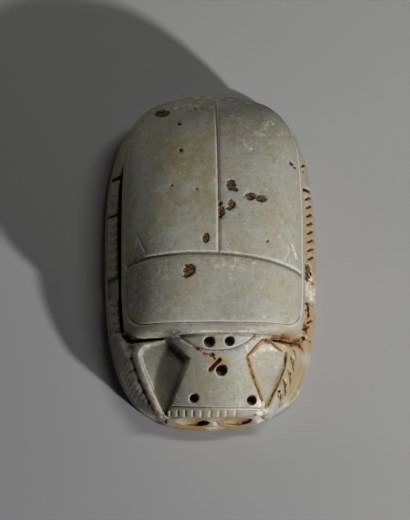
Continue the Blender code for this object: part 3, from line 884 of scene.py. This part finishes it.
def carve():
    reach = WIDTH / 2 + MARGIN
    ends = (PLATE_MIDDLE - LENGTH / 2 - MARGIN, PLATE_MIDDLE + LENGTH / 2 + MARGIN)
    block = Block((-reach, ends[0], -MARGIN), (reach, ends[1], HEIGHT + MARGIN))
    far = 60.0
    block.add((-far, -far, -far), (far, far, 7.0), plate, 0.2)
    block.add((-far, SKIRT_FRONT - 1.0, 3.0), (far, far, SKIRT_TOP + 1.0), skirt, 0.8)
    for side, start, end, _, _ in SIDE_LEGS:
        low, high = around(((side * 17.0, start, 5.0), (side * 26.0, end, 12.0)), 1.0)
        block.add(low, high, side_leg(start, end), 0.3)
    block.add((-far, -far, 2.0), (far, -18.0, 24.0), front_block, 0.4)
    for side in (-1, 1):
        low, high = around(((side * 9.0, -39.5, 8.0), (side * 20.0, -20.5, 20.0)), 1.0)
        block.add(low, high, fore_leg(side), 0.3)
        low, high = around(((0.0, -41.0, 8.0), (side * 18.0, -21.0, 28.0)), 0.5)
        block.cut(low, high, kite(side), 0.25)
    block.add((-LIP_HALF - 1.0, -far, 3.0), (LIP_HALF + 1.0, LIP_BACK + 1.0, 21.0), lip, 0.2)
    block.add((-15.0, HEAD_FRONT - 1.0, 6.0), (15.0, HEAD_BACK + 1.0, 28.0), head, 0.3)
    block.add((-far, BACK_FRONT - 2.0, BACK_FOOT - 1.5), (far, far, far), back, 0.3)
    block.cut((-25.0, -23.0, 7.0), (-13.0, 25.0, 15.0), gully, 0.3)
    for side in (-1, 1):
        low, high = around(((side * 12.0, -23.0, 9.0), (side * 23.0, -15.0, 20.0)), 0.5)
        block.cut(low, high, corner_slot(side), 0.2)
    for x, y, z, half in PITS:
        low, high = around(((x, y, z),), half + 1.0)
        block.cut(low, high, lump((x, y, z), half), 0.25)
    notch(block, *LIP_NOTCH)
    notch(block, *FACE_NOTCH)
    for centre, half_wide in SCOOPS:
        block.cut((centre - 5.0, -far, 1.0), (centre + 5.0, -35.0, 15.0), scoop(centre, half_wide), 0.3)
    for x, y, diameter in HOLES:
        block.cut((x - 2.5, y - 2.5, 8.0), (x + 2.5, y + 2.5, 28.0), drilled_hole(x, y, diameter), 0.2)
    ends = [(x, y, float(head_height(x, y)) - SLOT_DEPTH + SLOT_HALF) for x, y in SLOT]
    notch(block, *ends, SLOT_HALF)
    carve_hatching(block)
    return block


# ---------- incised lines

def on_surface(height, plan):
    return [(x, y, float(height(x, y))) for x, y in plan]


def seam_path():
    return on_surface(back_height, [(SEAM_X, y) for y in spaced(SEAM_REAR, ARC_Y, 40)])


def arc_path():
    spread = [ARC_HALF * math.sin(math.radians(turn)) for turn in spaced(-90, 90, 40)]
    return on_surface(back_height, [(x, ARC_Y + ARC_SLANT * x - ARC_BOW * x ** 2) for x in spread])


def border_path():
    corner_y = BORDER_FRONT + BORDER_CORNER
    half = [(BORDER_SHARE * float(back_half(y)), y) for y in spaced(BORDER_REAR, corner_y, 24)]
    corner_x = half[-1][0] - BORDER_CORNER
    for turn in range(10, 91, 10):
        angle = math.radians(turn)
        half.append((corner_x + BORDER_CORNER * math.cos(angle),
                     BORDER_FRONT + BORDER_CORNER * (1.0 - math.sin(angle))))
    front = [(x, BORDER_FRONT) for x in spaced(corner_x, -corner_x, 16)[1:-1]]
    return on_surface(back_height, half + front + [(-x, y) for x, y in reversed(half)])


def lunate_path():
    plan = [(HEAD_X + LUNATE_HALF * across, LUNATE_Y + LUNATE_RISE * abs(across) ** 2.4)
            for across in spaced(-1.0, 1.0, 24)]
    return on_surface(head_height, plan)


def nape_path():
    """The line where the head meets the back."""
    return on_surface(head_height, [(x, BACK_FRONT - 0.1) for x in spaced(-8.0, 10.0, 12)])


def clypeus_path():
    plan = [(x, HEAD_FRONT + 0.2 + 0.5 * lip_bow(x) + CLYPEUS_SLANT * x)
            for x in spaced(-LIP_HALF + 0.3, LIP_HALF - 0.3, 16)]
    return on_surface(head_height, plan)


def lip_foot_path():
    """The dark line on the face below the clypeus, which rises a little to the right."""
    path = []
    for x in spaced(-LIP_HALF + 0.4, LIP_HALF - 1.6, 16):
        edge = float(head_height(x, HEAD_FRONT)) - LIP_EDGE_DROP
        top = edge - 0.8
        z = edge - LIP_FOOT_DROP + 0.25 * max(x - 2.0, 0.0)
        y = mix(LIP_FRONT + LIP_UNDERCUT, FACE_FOOT, (top - z) / (top - BANK_LOW))
        path.append((x, y + lip_bow(x), z))
    return path


def tooth_path(x):
    top = float(head_height(x, HEAD_FRONT))
    front = LIP_FRONT + lip_bow(x)
    return [(x, front, top - LIP_EDGE_DROP), (x, front + 0.8 * LIP_REACH, top - 0.2 * LIP_EDGE_DROP)]


def comb_paths():
    """The slanting strokes along the left bank, from the rear one to the front one."""
    paths = []
    for start in spaced(COMB_REAR, COMB_FRONT, COMB_STROKES - 1):
        plan = []
        for part in spaced(0.0, 1.0, 4):
            y = start + part * COMB_REACH
            plan.append((-(float(plate_half(y)) - mix(COMB_INSET, RIM_GAP + 0.3, part)), y))
        paths.append(on_surface(bank_height, plan))
    return paths


def line_depth(points, path, width, depth):
    """How deep a V-shaped line along the path is at each point."""
    low, high = around(path, width)
    near = np.all((points > low) & (points < high), axis=1)
    cut = np.zeros(len(points))
    gap = path_distance(points[near], path)
    cut[near] = depth * np.clip(1.0 - 2.0 * gap / width, 0.0, 1.0)
    return cut


def incised_lines(points):
    """How deep the incised lines are at each point."""
    lines = [
        (seam_path(), 1.1, 0.42),
        (arc_path(), 1.5, 0.6),
        (border_path(), 1.1, 0.45),
        (lunate_path(), 1.1, 0.5),
        (nape_path(), 0.9, 0.5),
        (clypeus_path(), 1.0, 0.5),
        (lip_foot_path(), 1.6, 0.4),
    ]                           # path, width and depth
    lines += [(tooth_path(x), 0.8, 0.32) for x in TOOTH_LINES]
    lines += [(path, COMB_WIDTH, COMB_DEPTH) for path in comb_paths()]
    for apex, inner, outer in SHOULDER_MARKS:
        lines.append((on_surface(back_height, [outer, apex, inner]), 0.9, 0.4))
    beside = smooth_step(15.0, 19.5, np.abs(points[:, 0]))
    cut = beside * line_depth(points, border_path(), 1.6, 0.5)
    for path, width, depth in lines:
        cut = np.maximum(cut, line_depth(points, path, width, depth))
    return cut


# ---------- the stone mesh

def pitted(points):
    """From 0 to 1: where the surface is pitted and brown."""
    total = np.zeros(len(points))
    rough = layered_noise(points, 1.3, 3, 21)
    for x, y, half_x, half_y in BLOTCHES:
        margin = 1.0
        near = (np.abs(points[:, 0] - x) < half_x + margin) & (np.abs(points[:, 1] - y) < half_y + margin)
        near &= points[:, 2] > PIT_LOWEST
        reach = np.hypot((points[near, 0] - x) / half_x, (points[near, 1] - y) / half_y)
        inside = (1.0 - reach) * min(half_x, half_y) / 0.8
        total[near] = np.maximum(total[near], np.clip(0.5 + inside + 0.25 * rough[near], 0.0, 1.0))
    return total


def hatch_stains():
    """The dirt in the notches of the right side legs, as plan paths with a half width."""
    stains = []
    for side, _, _, first, count in SIDE_LEGS:
        for step in range(count if side > 0 else 0):
            y = first + HATCH_PITCH * step
            inner, outer = leg_point(side, y, SIDE_LEG_HIGH + 0.35), leg_point(side, y + HATCH_LEAN, 8.6)
            stains.append(((inner[:2], outer[:2]), 0.27))
    return tuple(stains)


def rust_lines(points):
    """From 0 to 1: how near points are to the brown lines of dirt, each a plan path and a half width."""
    total = np.zeros(len(points))
    flat, y, z = points * FLAT, points[:, 1], points[:, 2]
    ground = (y < BACK_FRONT - 0.6) | (z < FLOOR_BACK + 0.6)
    takes = (z > RUST_LOWEST) & ground & ((y > LIP_FRONT + 0.8) | (z < RUST_BELOW_LIP))
    for plan, half in RUST_PATHS + hatch_stains():
        path = [(x, y, 0.0) for x, y in plan]
        low, high = around(path, 3.0 * half)
        near = np.all((flat > low) & (flat < high), axis=1) & takes
        gap = path_distance(flat[near], path)
        total[near] = np.maximum(total[near], np.clip(1.0 - 0.5 * gap / half, 0.0, 1.0))
    return np.maximum(total, line_depth(points, lip_foot_path(), 2.0, 1.1))


def regional(points, spots):
    """From 0 to 1: how near points are to a list of patches, each x, y, two half sizes and a strength."""
    total = np.zeros(len(points))
    for x, y, half_x, half_y, strength in spots:
        reach = ((points[:, 0] - x) / half_x) ** 2 + ((points[:, 1] - y) / half_y) ** 2
        total = np.maximum(total, strength * np.exp(-0.7 * reach * reach))
    return total


def wear_and_painted_light_lines(points):
    """From 0 to 1: the left fore leg and the strokes of the bank outside it, pale from wear, and the bank's
    rim, painted pale as painted light.
    """
    total = np.zeros(len(points))
    left = (points[:, 0] < WORN_FROM) & (points[:, 1] < BACK_FRONT) & (points[:, 2] > PLATE_TOP)
    leg = [(x - 0.3, y, 0.0) for x, y in leg_plan(-1)]
    rim = [(-(float(plate_half(y)) - RIM_INSET), y, 0.0) for y in np.arange(*RIM_SPAN, -1.5)]
    paths = [(leg, 1.3, LEG_WEAR), (rim, 1.7, RIM_PAINTED_LIGHT)]
    paths += [(np.array(path) * FLAT, 0.5, 1.0) for path in comb_paths()]
    for path, half, strength in paths:
        gap = path_distance(points[left] * FLAT, path)
        total[left] = np.maximum(total[left], strength * smooth_step(half, 0.3 * half, gap))
    return total


def settled(block, points):
    """Points moved onto the block's true surface, and the unit vectors out of it there."""
    for _ in range(2):
        normals, steepness = block.normals(points)
        step = np.clip(block.sample(points) / np.maximum(steepness, 0.3), -CELL, CELL)
        points = points - normals * step[:, None] * 0.8
    return points, block.normals(points)[0]


def closeness(block, points, normals, reach):
    """From 0 to 1: how much other stone stands within reach in front of each point."""
    return np.clip((reach - block.sample(points + normals * reach)) / reach, 0.0, 1.0)


def stone_mesh(unit):
    """The carving as a mesh in metres, with its fine relief and the masks that the material reads."""
    block = carve()
    points, faces = block.surface()
    points, normals = settled(block, points)
    hollow = closeness(block, points, normals, HOLLOW_REACH)
    face = smooth_step(*FACE_FRONT, points[:, 1]) * smooth_step(*FACE_BELOW, points[:, 2])
    hollow *= 1.0 - FACE_CLEAN * face
    gap = closeness(block, points, normals, GAP_REACH)
    edge = np.clip((EDGE_REACH + block.sample(points - normals * EDGE_REACH)) / EDGE_REACH, 0.0, 1.0)
    lines = incised_lines(points)
    pits = pitted(points)
    rust = rust_lines(points)
    waves = 0.10 * layered_noise(points, 9.0, 3, 1) + 0.015 * layered_noise(points, 1.6, 2, 5)
    under = smooth_step(0.3, 1.0, points[:, 2])
    relief = waves * under - lines - RUST_DEPTH * smooth_step(0.4, 1.0, rust)
    relief -= PIT_DEPTH * smooth_step(0.4, 0.8, pits)
    points = points + normals * relief[:, None]
    points[:, 2] = np.maximum(points[:, 2], 0.0)
    masks = {"hollow": hollow, "gap": gap, "edge": edge, "line": lines / 0.5, "pit": pits, "rust": rust}
    areas = {"tan": TAN_AREAS, "olive": OLIVE_AREAS, "pale": PALE_AND_PAINTED_LIGHT_AREAS, "crust_and_shade": CRUST_AND_SHADE_AREAS}
    for name, spots in areas.items():
        masks[name] = regional(points, spots)
    masks["pale"] = np.maximum(masks["pale"], wear_and_painted_light_lines(points))
    # Less of the crust mask on stone that faces up, so its painted shade falls mostly on walls and slopes.
    masks["crust_and_shade"] *= mix(1.0, 0.45, smooth_step(0.6, 0.9, normals[:, 2]))
    mesh = bpy.data.meshes.new("scarab_stone")
    mesh.from_pydata(((points - (0.0, PLATE_MIDDLE, 0.0)) * unit).tolist(), [], faces.tolist())
    for name, values in masks.items():
        layer = mesh.attributes.new(name, "FLOAT", "POINT")
        layer.data.foreach_set("value", values.astype(np.float32))
    mesh.shade_smooth()
    return mesh


def thinned(item):
    """Merges the flattest faces until the piece has no more than MOST_FACES triangles."""
    triangles = 2 * len(item.data.polygons)
    if triangles > MOST_FACES:
        modifier = item.modifiers.new("thin", "DECIMATE")
        modifier.ratio = MOST_FACES / triangles
        mesh = bpy.data.meshes.new_from_object(item.evaluated_get(bpy.context.evaluated_depsgraph_get()))
        item.modifiers.clear()
        item.data = mesh
        mesh.shade_smooth()


# ---------- materials

EVEN = (1.0, 1.0, 1.0)


class Shading:
    """Short ways to add nodes to one material."""

    def __init__(self, name):
        self.material = bpy.data.materials.new(name)
        self.material.use_nodes = True
        self.nodes = self.material.node_tree.nodes
        self.links = self.material.node_tree.links
        self.shader = self.nodes["Principled BSDF"]
        self.place = self.nodes.new("ShaderNodeTexCoord").outputs["Object"]

    def put(self, socket, value):
        if isinstance(value, bpy.types.NodeSocket):
            self.links.new(value, socket)
        else:
            socket.default_value = value

    def attribute(self, name):
        node = self.nodes.new("ShaderNodeAttribute")
        node.attribute_name = name
        return node.outputs["Fac"]

    def noise(self, size, detail=3.0, roughness=0.55, stretch=EVEN, shift=0.0):
        """Noise from 0 to 1 with features about size millimetres across."""
        place = self.nodes.new("ShaderNodeMapping")
        self.put(place.inputs["Vector"], self.place)
        place.inputs["Location"].default_value = (shift, -shift, 0.5 * shift)
        place.inputs["Scale"].default_value = [1000.0 / (size * part) for part in stretch]
        node = self.nodes.new("ShaderNodeTexNoise")
        self.put(node.inputs["Vector"], place.outputs["Vector"])
        node.inputs["Scale"].default_value = 1.0
        node.inputs["Detail"].default_value = detail
        node.inputs["Roughness"].default_value = roughness
        return node.outputs["Fac"]

    def ramp(self, value, low, high, to_low=0.0, to_high=1.0):
        node = self.nodes.new("ShaderNodeMapRange")
        node.interpolation_type = "SMOOTHSTEP"
        self.put(node.inputs["Value"], value)
        for name, number in zip(("From Min", "From Max", "To Min", "To Max"), (low, high, to_low, to_high)):
            node.inputs[name].default_value = number
        return node.outputs["Result"]

    def calculate(self, operation, first, second):
        node = self.nodes.new("ShaderNodeMath")
        node.operation = operation
        self.put(node.inputs[0], first)
        self.put(node.inputs[1], second)
        return node.outputs["Value"]

    def blend(self, share, first, second):
        """The first colour, with the second laid over it by share."""
        node = self.nodes.new("ShaderNodeMix")
        node.data_type = "RGBA"
        self.put(node.inputs["Factor"], share)
        for name, colour in (("A", first), ("B", second)):
            socket = [entry for entry in node.inputs if entry.name == name and entry.type == "RGBA"][0]
            self.put(socket, (*colour, 1.0) if isinstance(colour, tuple) else colour)
        return [entry for entry in node.outputs if entry.type == "RGBA"][0]

    def bump(self, height, distance, under=None):
        """Relief of a given depth in metres, added to the relief under it."""
        node = self.nodes.new("ShaderNodeBump")
        node.inputs["Strength"].default_value = 1.0
        node.inputs["Distance"].default_value = distance
        self.put(node.inputs["Height"], height)
        if under:
            self.put(node.inputs["Normal"], under)
        return node.outputs["Normal"]


GREY = (0.322, 0.304, 0.240)
GREY_DEEP = (0.225, 0.217, 0.170)
GREY_BLUE = (0.330, 0.330, 0.296)
OLIVE = (0.275, 0.248, 0.155)
PALE = (0.450, 0.410, 0.335)
CHIPPED = (0.540, 0.492, 0.425)
TAN = (0.350, 0.225, 0.095)
TAN_LIGHT = (0.330, 0.240, 0.135)
BROWN = (0.060, 0.032, 0.013)
RUST = (0.135, 0.068, 0.026)
# a near-black for the dirt in the lines, and for the painted shade of the crust areas
SOOT_AND_SHADE = (0.045, 0.045, 0.034)
PIT_BROWN = (0.150, 0.098, 0.042)
PIT_BLACK = (0.035, 0.022, 0.011)
STONE_LAYERS = (
    (1.3, 4.0, 0.7, EVEN, 5.0, 0.50, 0.74, 0.75, GREY_DEEP),
    (0.55, 2.0, 0.6, EVEN, 9.0, 0.60, 0.74, 0.5, GREY_DEEP),
    (0.7, 2.0, 0.6, EVEN, 2.0, 0.60, 0.76, 0.5, PALE),
    (0.3, 2.0, 0.5, (9.0, 1.0, 4.0), 21.0, 0.64, 0.74, 0.45, PALE),
    (0.3, 2.0, 0.5, (1.0, 9.0, 4.0), 23.0, 0.64, 0.74, 0.45, PALE),
)
# blotches, specks and scratches: the noise's size, detail, roughness, stretch and shift, the span of
# noise over which each appears, its strength and its colour
RUST_LAYERS = (
    (0.25, 0.60, 0.85, TAN),
    (0.55, 0.85, 0.9, RUST),
    (0.85, 1.05, 0.9, BROWN),
)                               # the span of rust over which each appears, its strength and its colour


def stone_material():
    """Grey-green stone with olive stains, brown dirt in the cuts and paler edges from wear, with painted
    shade on the shaded left side and painted light on the lit left rim and on the back's front edge.
    """
    make = Shading("weathered_steatite")
    hollow, line, pit, rust = (make.attribute(name) for name in ("hollow", "line", "pit", "rust"))
    tan, olive, pale, crust_and_shade = (make.attribute(name) for name in ("tan", "olive", "pale", "crust_and_shade"))

    cloud = make.ramp(make.noise(7.0, 4.0, 0.6), 0.38, 0.62)
    colour = make.blend(cloud, GREY, GREY_BLUE)
    stain = make.noise(5.0, 4.0, 0.65, shift=3.1)
    stain = make.calculate("ADD", stain, make.calculate("MULTIPLY", olive, 0.32))
    colour = make.blend(make.ramp(stain, 0.52, 0.86), colour, OLIVE)
    for size, detail, roughness, stretch, shift, low, high, strength, tone in STONE_LAYERS:
        share = make.ramp(make.noise(size, detail, roughness, stretch, shift), low, high, 0.0, strength)
        colour = make.blend(share, colour, tone)

    # The pale mask is partly painted light: the lit left rim and the back's lit front edge are painted paler
    # along with the wear.
    wear_and_painted_light = make.calculate("ADD", make.noise(1.6, 4.0, 0.7, shift=7.0), make.calculate("MULTIPLY", pale, 0.30))
    colour = make.blend(make.ramp(wear_and_painted_light, 0.58, 0.80), colour, CHIPPED)
    rim = make.ramp(make.attribute("edge"), 0.45, 0.85)
    rim = make.calculate("MULTIPLY", rim, make.noise(2.2, 3.0, 0.7))
    colour = make.blend(rim, colour, CHIPPED)
    colour = make.blend(make.ramp(line, 0.05, 0.25, 0.0, 0.5), colour, CHIPPED)

    veil = make.ramp(make.noise(2.6, 4.0, 0.65, shift=12.0), 0.30, 0.62, 0.25, 1.0)
    veil = make.calculate("MULTIPLY", tan, veil)
    colour = make.blend(make.calculate("MULTIPLY", veil, make.ramp(tan, 0.55, 0.95)), colour, TAN_LIGHT)
    film = make.ramp(make.noise(1.8, 4.0, 0.7, shift=4.0), 0.35, 0.60)
    film = make.calculate("MULTIPLY", tan, film)
    film = make.calculate("MULTIPLY", film, make.ramp(make.attribute("gap"), 0.30, 0.62))
    colour = make.blend(film, colour, TAN)
    dirt = make.blend(make.ramp(tan, 0.15, 0.5), SOOT_AND_SHADE, BROWN)
    colour = make.blend(make.ramp(line, 0.5, 0.85, 0.0, 0.7), colour, dirt)
    grime = make.ramp(make.noise(0.9, 3.0, 0.7, shift=6.0), 0.2, 0.8, -0.15, 0.15)
    grime = make.calculate("ADD", hollow, grime)
    grime = make.calculate("ADD", grime, make.calculate("MULTIPLY", tan, 0.10))
    colour = make.blend(make.ramp(grime, 0.78, 1.02, 0.0, 0.96), colour, dirt)
    # Painted shade and dark crust: the crust mask darkens the shaded left side towards near-black.
    crust_and_shade_patches = make.ramp(make.noise(1.1, 4.0, 0.75, shift=8.0), 0.36, 0.52)
    crust_and_shade_patches = make.calculate("MULTIPLY", crust_and_shade, crust_and_shade_patches)
    colour = make.blend(make.calculate("MULTIPLY", crust_and_shade_patches, 0.85), colour, SOOT_AND_SHADE)
    rusty = make.ramp(make.noise(0.8, 4.0, 0.75, shift=14.0), 0.2, 0.8, -0.3, 0.3)
    rusty = make.calculate("ADD", rust, rusty)
    for low, high, strength, tone in RUST_LAYERS:
        colour = make.blend(make.ramp(rusty, low, high, 0.0, strength), colour, tone)
    brown = make.ramp(make.noise(0.6, 3.0, 0.7, shift=1.0), 0.46, 0.56)
    brown = make.blend(brown, PIT_BROWN, PIT_BLACK)
    ragged = make.ramp(make.noise(0.6, 4.0, 0.75, shift=2.5), 0.3, 0.7, -0.28, 0.22)
    ragged = make.calculate("ADD", pit, ragged)
    colour = make.blend(make.ramp(ragged, 0.44, 0.54), colour, brown)

    make.put(make.shader.inputs["Base Color"], colour)
    gloss = make.ramp(make.noise(1.5, 3.0, shift=11.0), 0.3, 0.7, 0.48, 0.68)
    make.put(make.shader.inputs["Roughness"], gloss)
    make.shader.inputs["Specular IOR Level"].default_value = 0.35
    coarse = make.bump(make.noise(1.4, 4.0, 0.65, shift=13.0), 0.00012)
    grain = make.bump(make.noise(0.3, 3.0, 0.7, shift=15.0), 0.00004, under=coarse)
    strokes = make.noise(0.35, 2.0, 0.5, (12.0, 1.0, 1.0), 17.0)
    make.put(make.shader.inputs["Normal"], make.bump(strokes, 0.00003, under=grain))
    return make.material


def floor_material():
    """A pale grey, with painted shade ahead of the head and to its left that stands in for the key lamp's
    falloff.
    """
    make = Shading("pale_grey_floor")
    tone = make.ramp(make.noise(60.0, 3.0, 0.5), 0.35, 0.65)
    colour = make.blend(tone, FLOOR_TONES[0], FLOOR_TONES[1])
    across = make.nodes.new("ShaderNodeSeparateXYZ")
    make.put(across.inputs["Vector"], make.place)
    sideways = make.calculate("MULTIPLY", across.outputs["X"], FLOOR_PAINTED_SHADE_TURN)
    place = make.calculate("ADD", across.outputs["Y"], sideways)
    # Painted shade: the floor darkens towards the front left as if the lamp's light fell off there.
    colour = make.blend(make.ramp(place, *FLOOR_PAINTED_SHADE_SPAN, 1.0, 0.0), colour, FLOOR_PAINTED_SHADE)
    make.put(make.shader.inputs["Base Color"], colour)
    make.shader.inputs["Roughness"].default_value = 0.9
    make.shader.inputs["Specular IOR Level"].default_value = 0.1
    return make.material


# ---------- the studio

CAMERA_ELEVATION = 79.0
CAMERA_TILT = 2.5               # the camera stands this much to the left of the middle
CAMERA_DISTANCE = 0.6
SCALE_AT_TARGET = 4.27          # picture points a millimetre
PICTURE = (410, 520)
AIM_OFFSET = (-1.65, -1.34)     # the picture's middle from the object's, in mm across and up
AIM_HEIGHT = 10.0
LAMPS = (
    ("key", 48.0, 29.5, 0.7, (0.045, 0.045), 3.85),
    ("rear", 119.0, 71.0, 0.8, (0.30, 0.035), 1.56),
    ("fill", -115.0, 9.0, 0.8, (0.30, 0.30), 0.72),
)                               # name, azimuth, elevation, distance, size in metres and power
SKY_STRENGTH = 0.014
FLOOR_TONES = ((0.366, 0.365, 0.358), (0.374, 0.373, 0.364))
FLOOR_PAINTED_SHADE = (0.310, 0.310, 0.314)     # painted shade: the floor's darker tone ahead of the head and to its left, standing in for the lamp's falloff
FLOOR_PAINTED_SHADE_SPAN = (-0.10, 0.04)        # where that tone ends, in metres along y
FLOOR_PAINTED_SHADE_TURN = 0.8                  # and how far that end is turned sideways
FLOOR_SIZE = 3.0


def floor_plane():
    bpy.ops.mesh.primitive_plane_add(size=FLOOR_SIZE)
    plane = bpy.context.object
    plane.name = "floor"
    plane.data.materials.append(floor_material())


def camera(middle):
    lift, turn = math.radians(90.0 - CAMERA_ELEVATION), math.radians(CAMERA_TILT)
    up = Vector((0.0, math.cos(lift), math.sin(lift)))
    level = Vector((0.0, -math.sin(lift), math.cos(lift)))
    right = Vector((math.cos(turn), 0.0, 0.0)) + level * math.sin(turn)
    back_off = level * math.cos(turn) - Vector((math.sin(turn), 0.0, 0.0))
    aim = middle + right * (AIM_OFFSET[0] / 1000.0) + up * (AIM_OFFSET[1] / 1000.0)
    data = bpy.data.cameras.new("camera")
    data.sensor_width = 36.0
    data.lens = SCALE_AT_TARGET * 1000.0 * CAMERA_DISTANCE * data.sensor_width / PICTURE[1]
    data.clip_start = 0.01
    item = bpy.data.objects.new("camera", data)
    bpy.context.collection.objects.link(item)
    item.matrix_world = Matrix((right, up, back_off)).transposed().to_4x4()
    item.matrix_world.translation = aim + back_off * CAMERA_DISTANCE
    bpy.context.scene.camera = item


def lamp(name, direction, distance, size, power):
    """An elliptical lamp aimed at the origin; size is its length along x and its width."""
    data = bpy.data.lights.new(name, "AREA")
    data.shape = "ELLIPSE"
    data.size, data.size_y = size
    data.energy = power
    item = bpy.data.objects.new(name, data)
    bpy.context.collection.objects.link(item)
    direction = Vector(direction)
    across = (Vector((1.0, 0.0, 0.0)) - direction * direction.x).normalized()
    item.matrix_world = Matrix((across, direction.cross(across), direction)).transposed().to_4x4()
    item.matrix_world.translation = direction * distance


def toward(azimuth, elevation):
    """The direction of a lamp; azimuth 0 is straight ahead of the head, 90 to its right."""
    turn, lift = math.radians(azimuth), math.radians(elevation)
    return (math.sin(turn) * math.cos(lift), -math.cos(turn) * math.cos(lift), math.sin(lift))


def lights():
    for name, azimuth, elevation, distance, size, power in LAMPS:
        lamp(name, toward(azimuth, elevation), distance, size, power)
    world = bpy.data.worlds.new("world")
    world.use_nodes = True
    sky = world.node_tree.nodes["Background"]
    sky.inputs["Color"].default_value = (1.0, 1.0, 1.0, 1.0)
    sky.inputs["Strength"].default_value = SKY_STRENGTH
    scene = bpy.context.scene
    scene.world = world
    scene.view_settings.view_transform = "Standard"
    scene.view_settings.look = "High Contrast"


# ---------- all together

def build():
    low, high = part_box("scarab")
    unit = (high.y - low.y) / LENGTH
    stone = bpy.data.objects.new("scarab_stone", stone_mesh(unit))
    bpy.context.collection.objects.link(stone)
    thinned(stone)
    stone.data.materials.append(stone_material())
    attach(stone, "root")
    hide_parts("scarab")
    floor_plane()
    camera(Vector((0.0, -PLATE_MIDDLE, AIM_HEIGHT)) * unit)
    lights()


build()
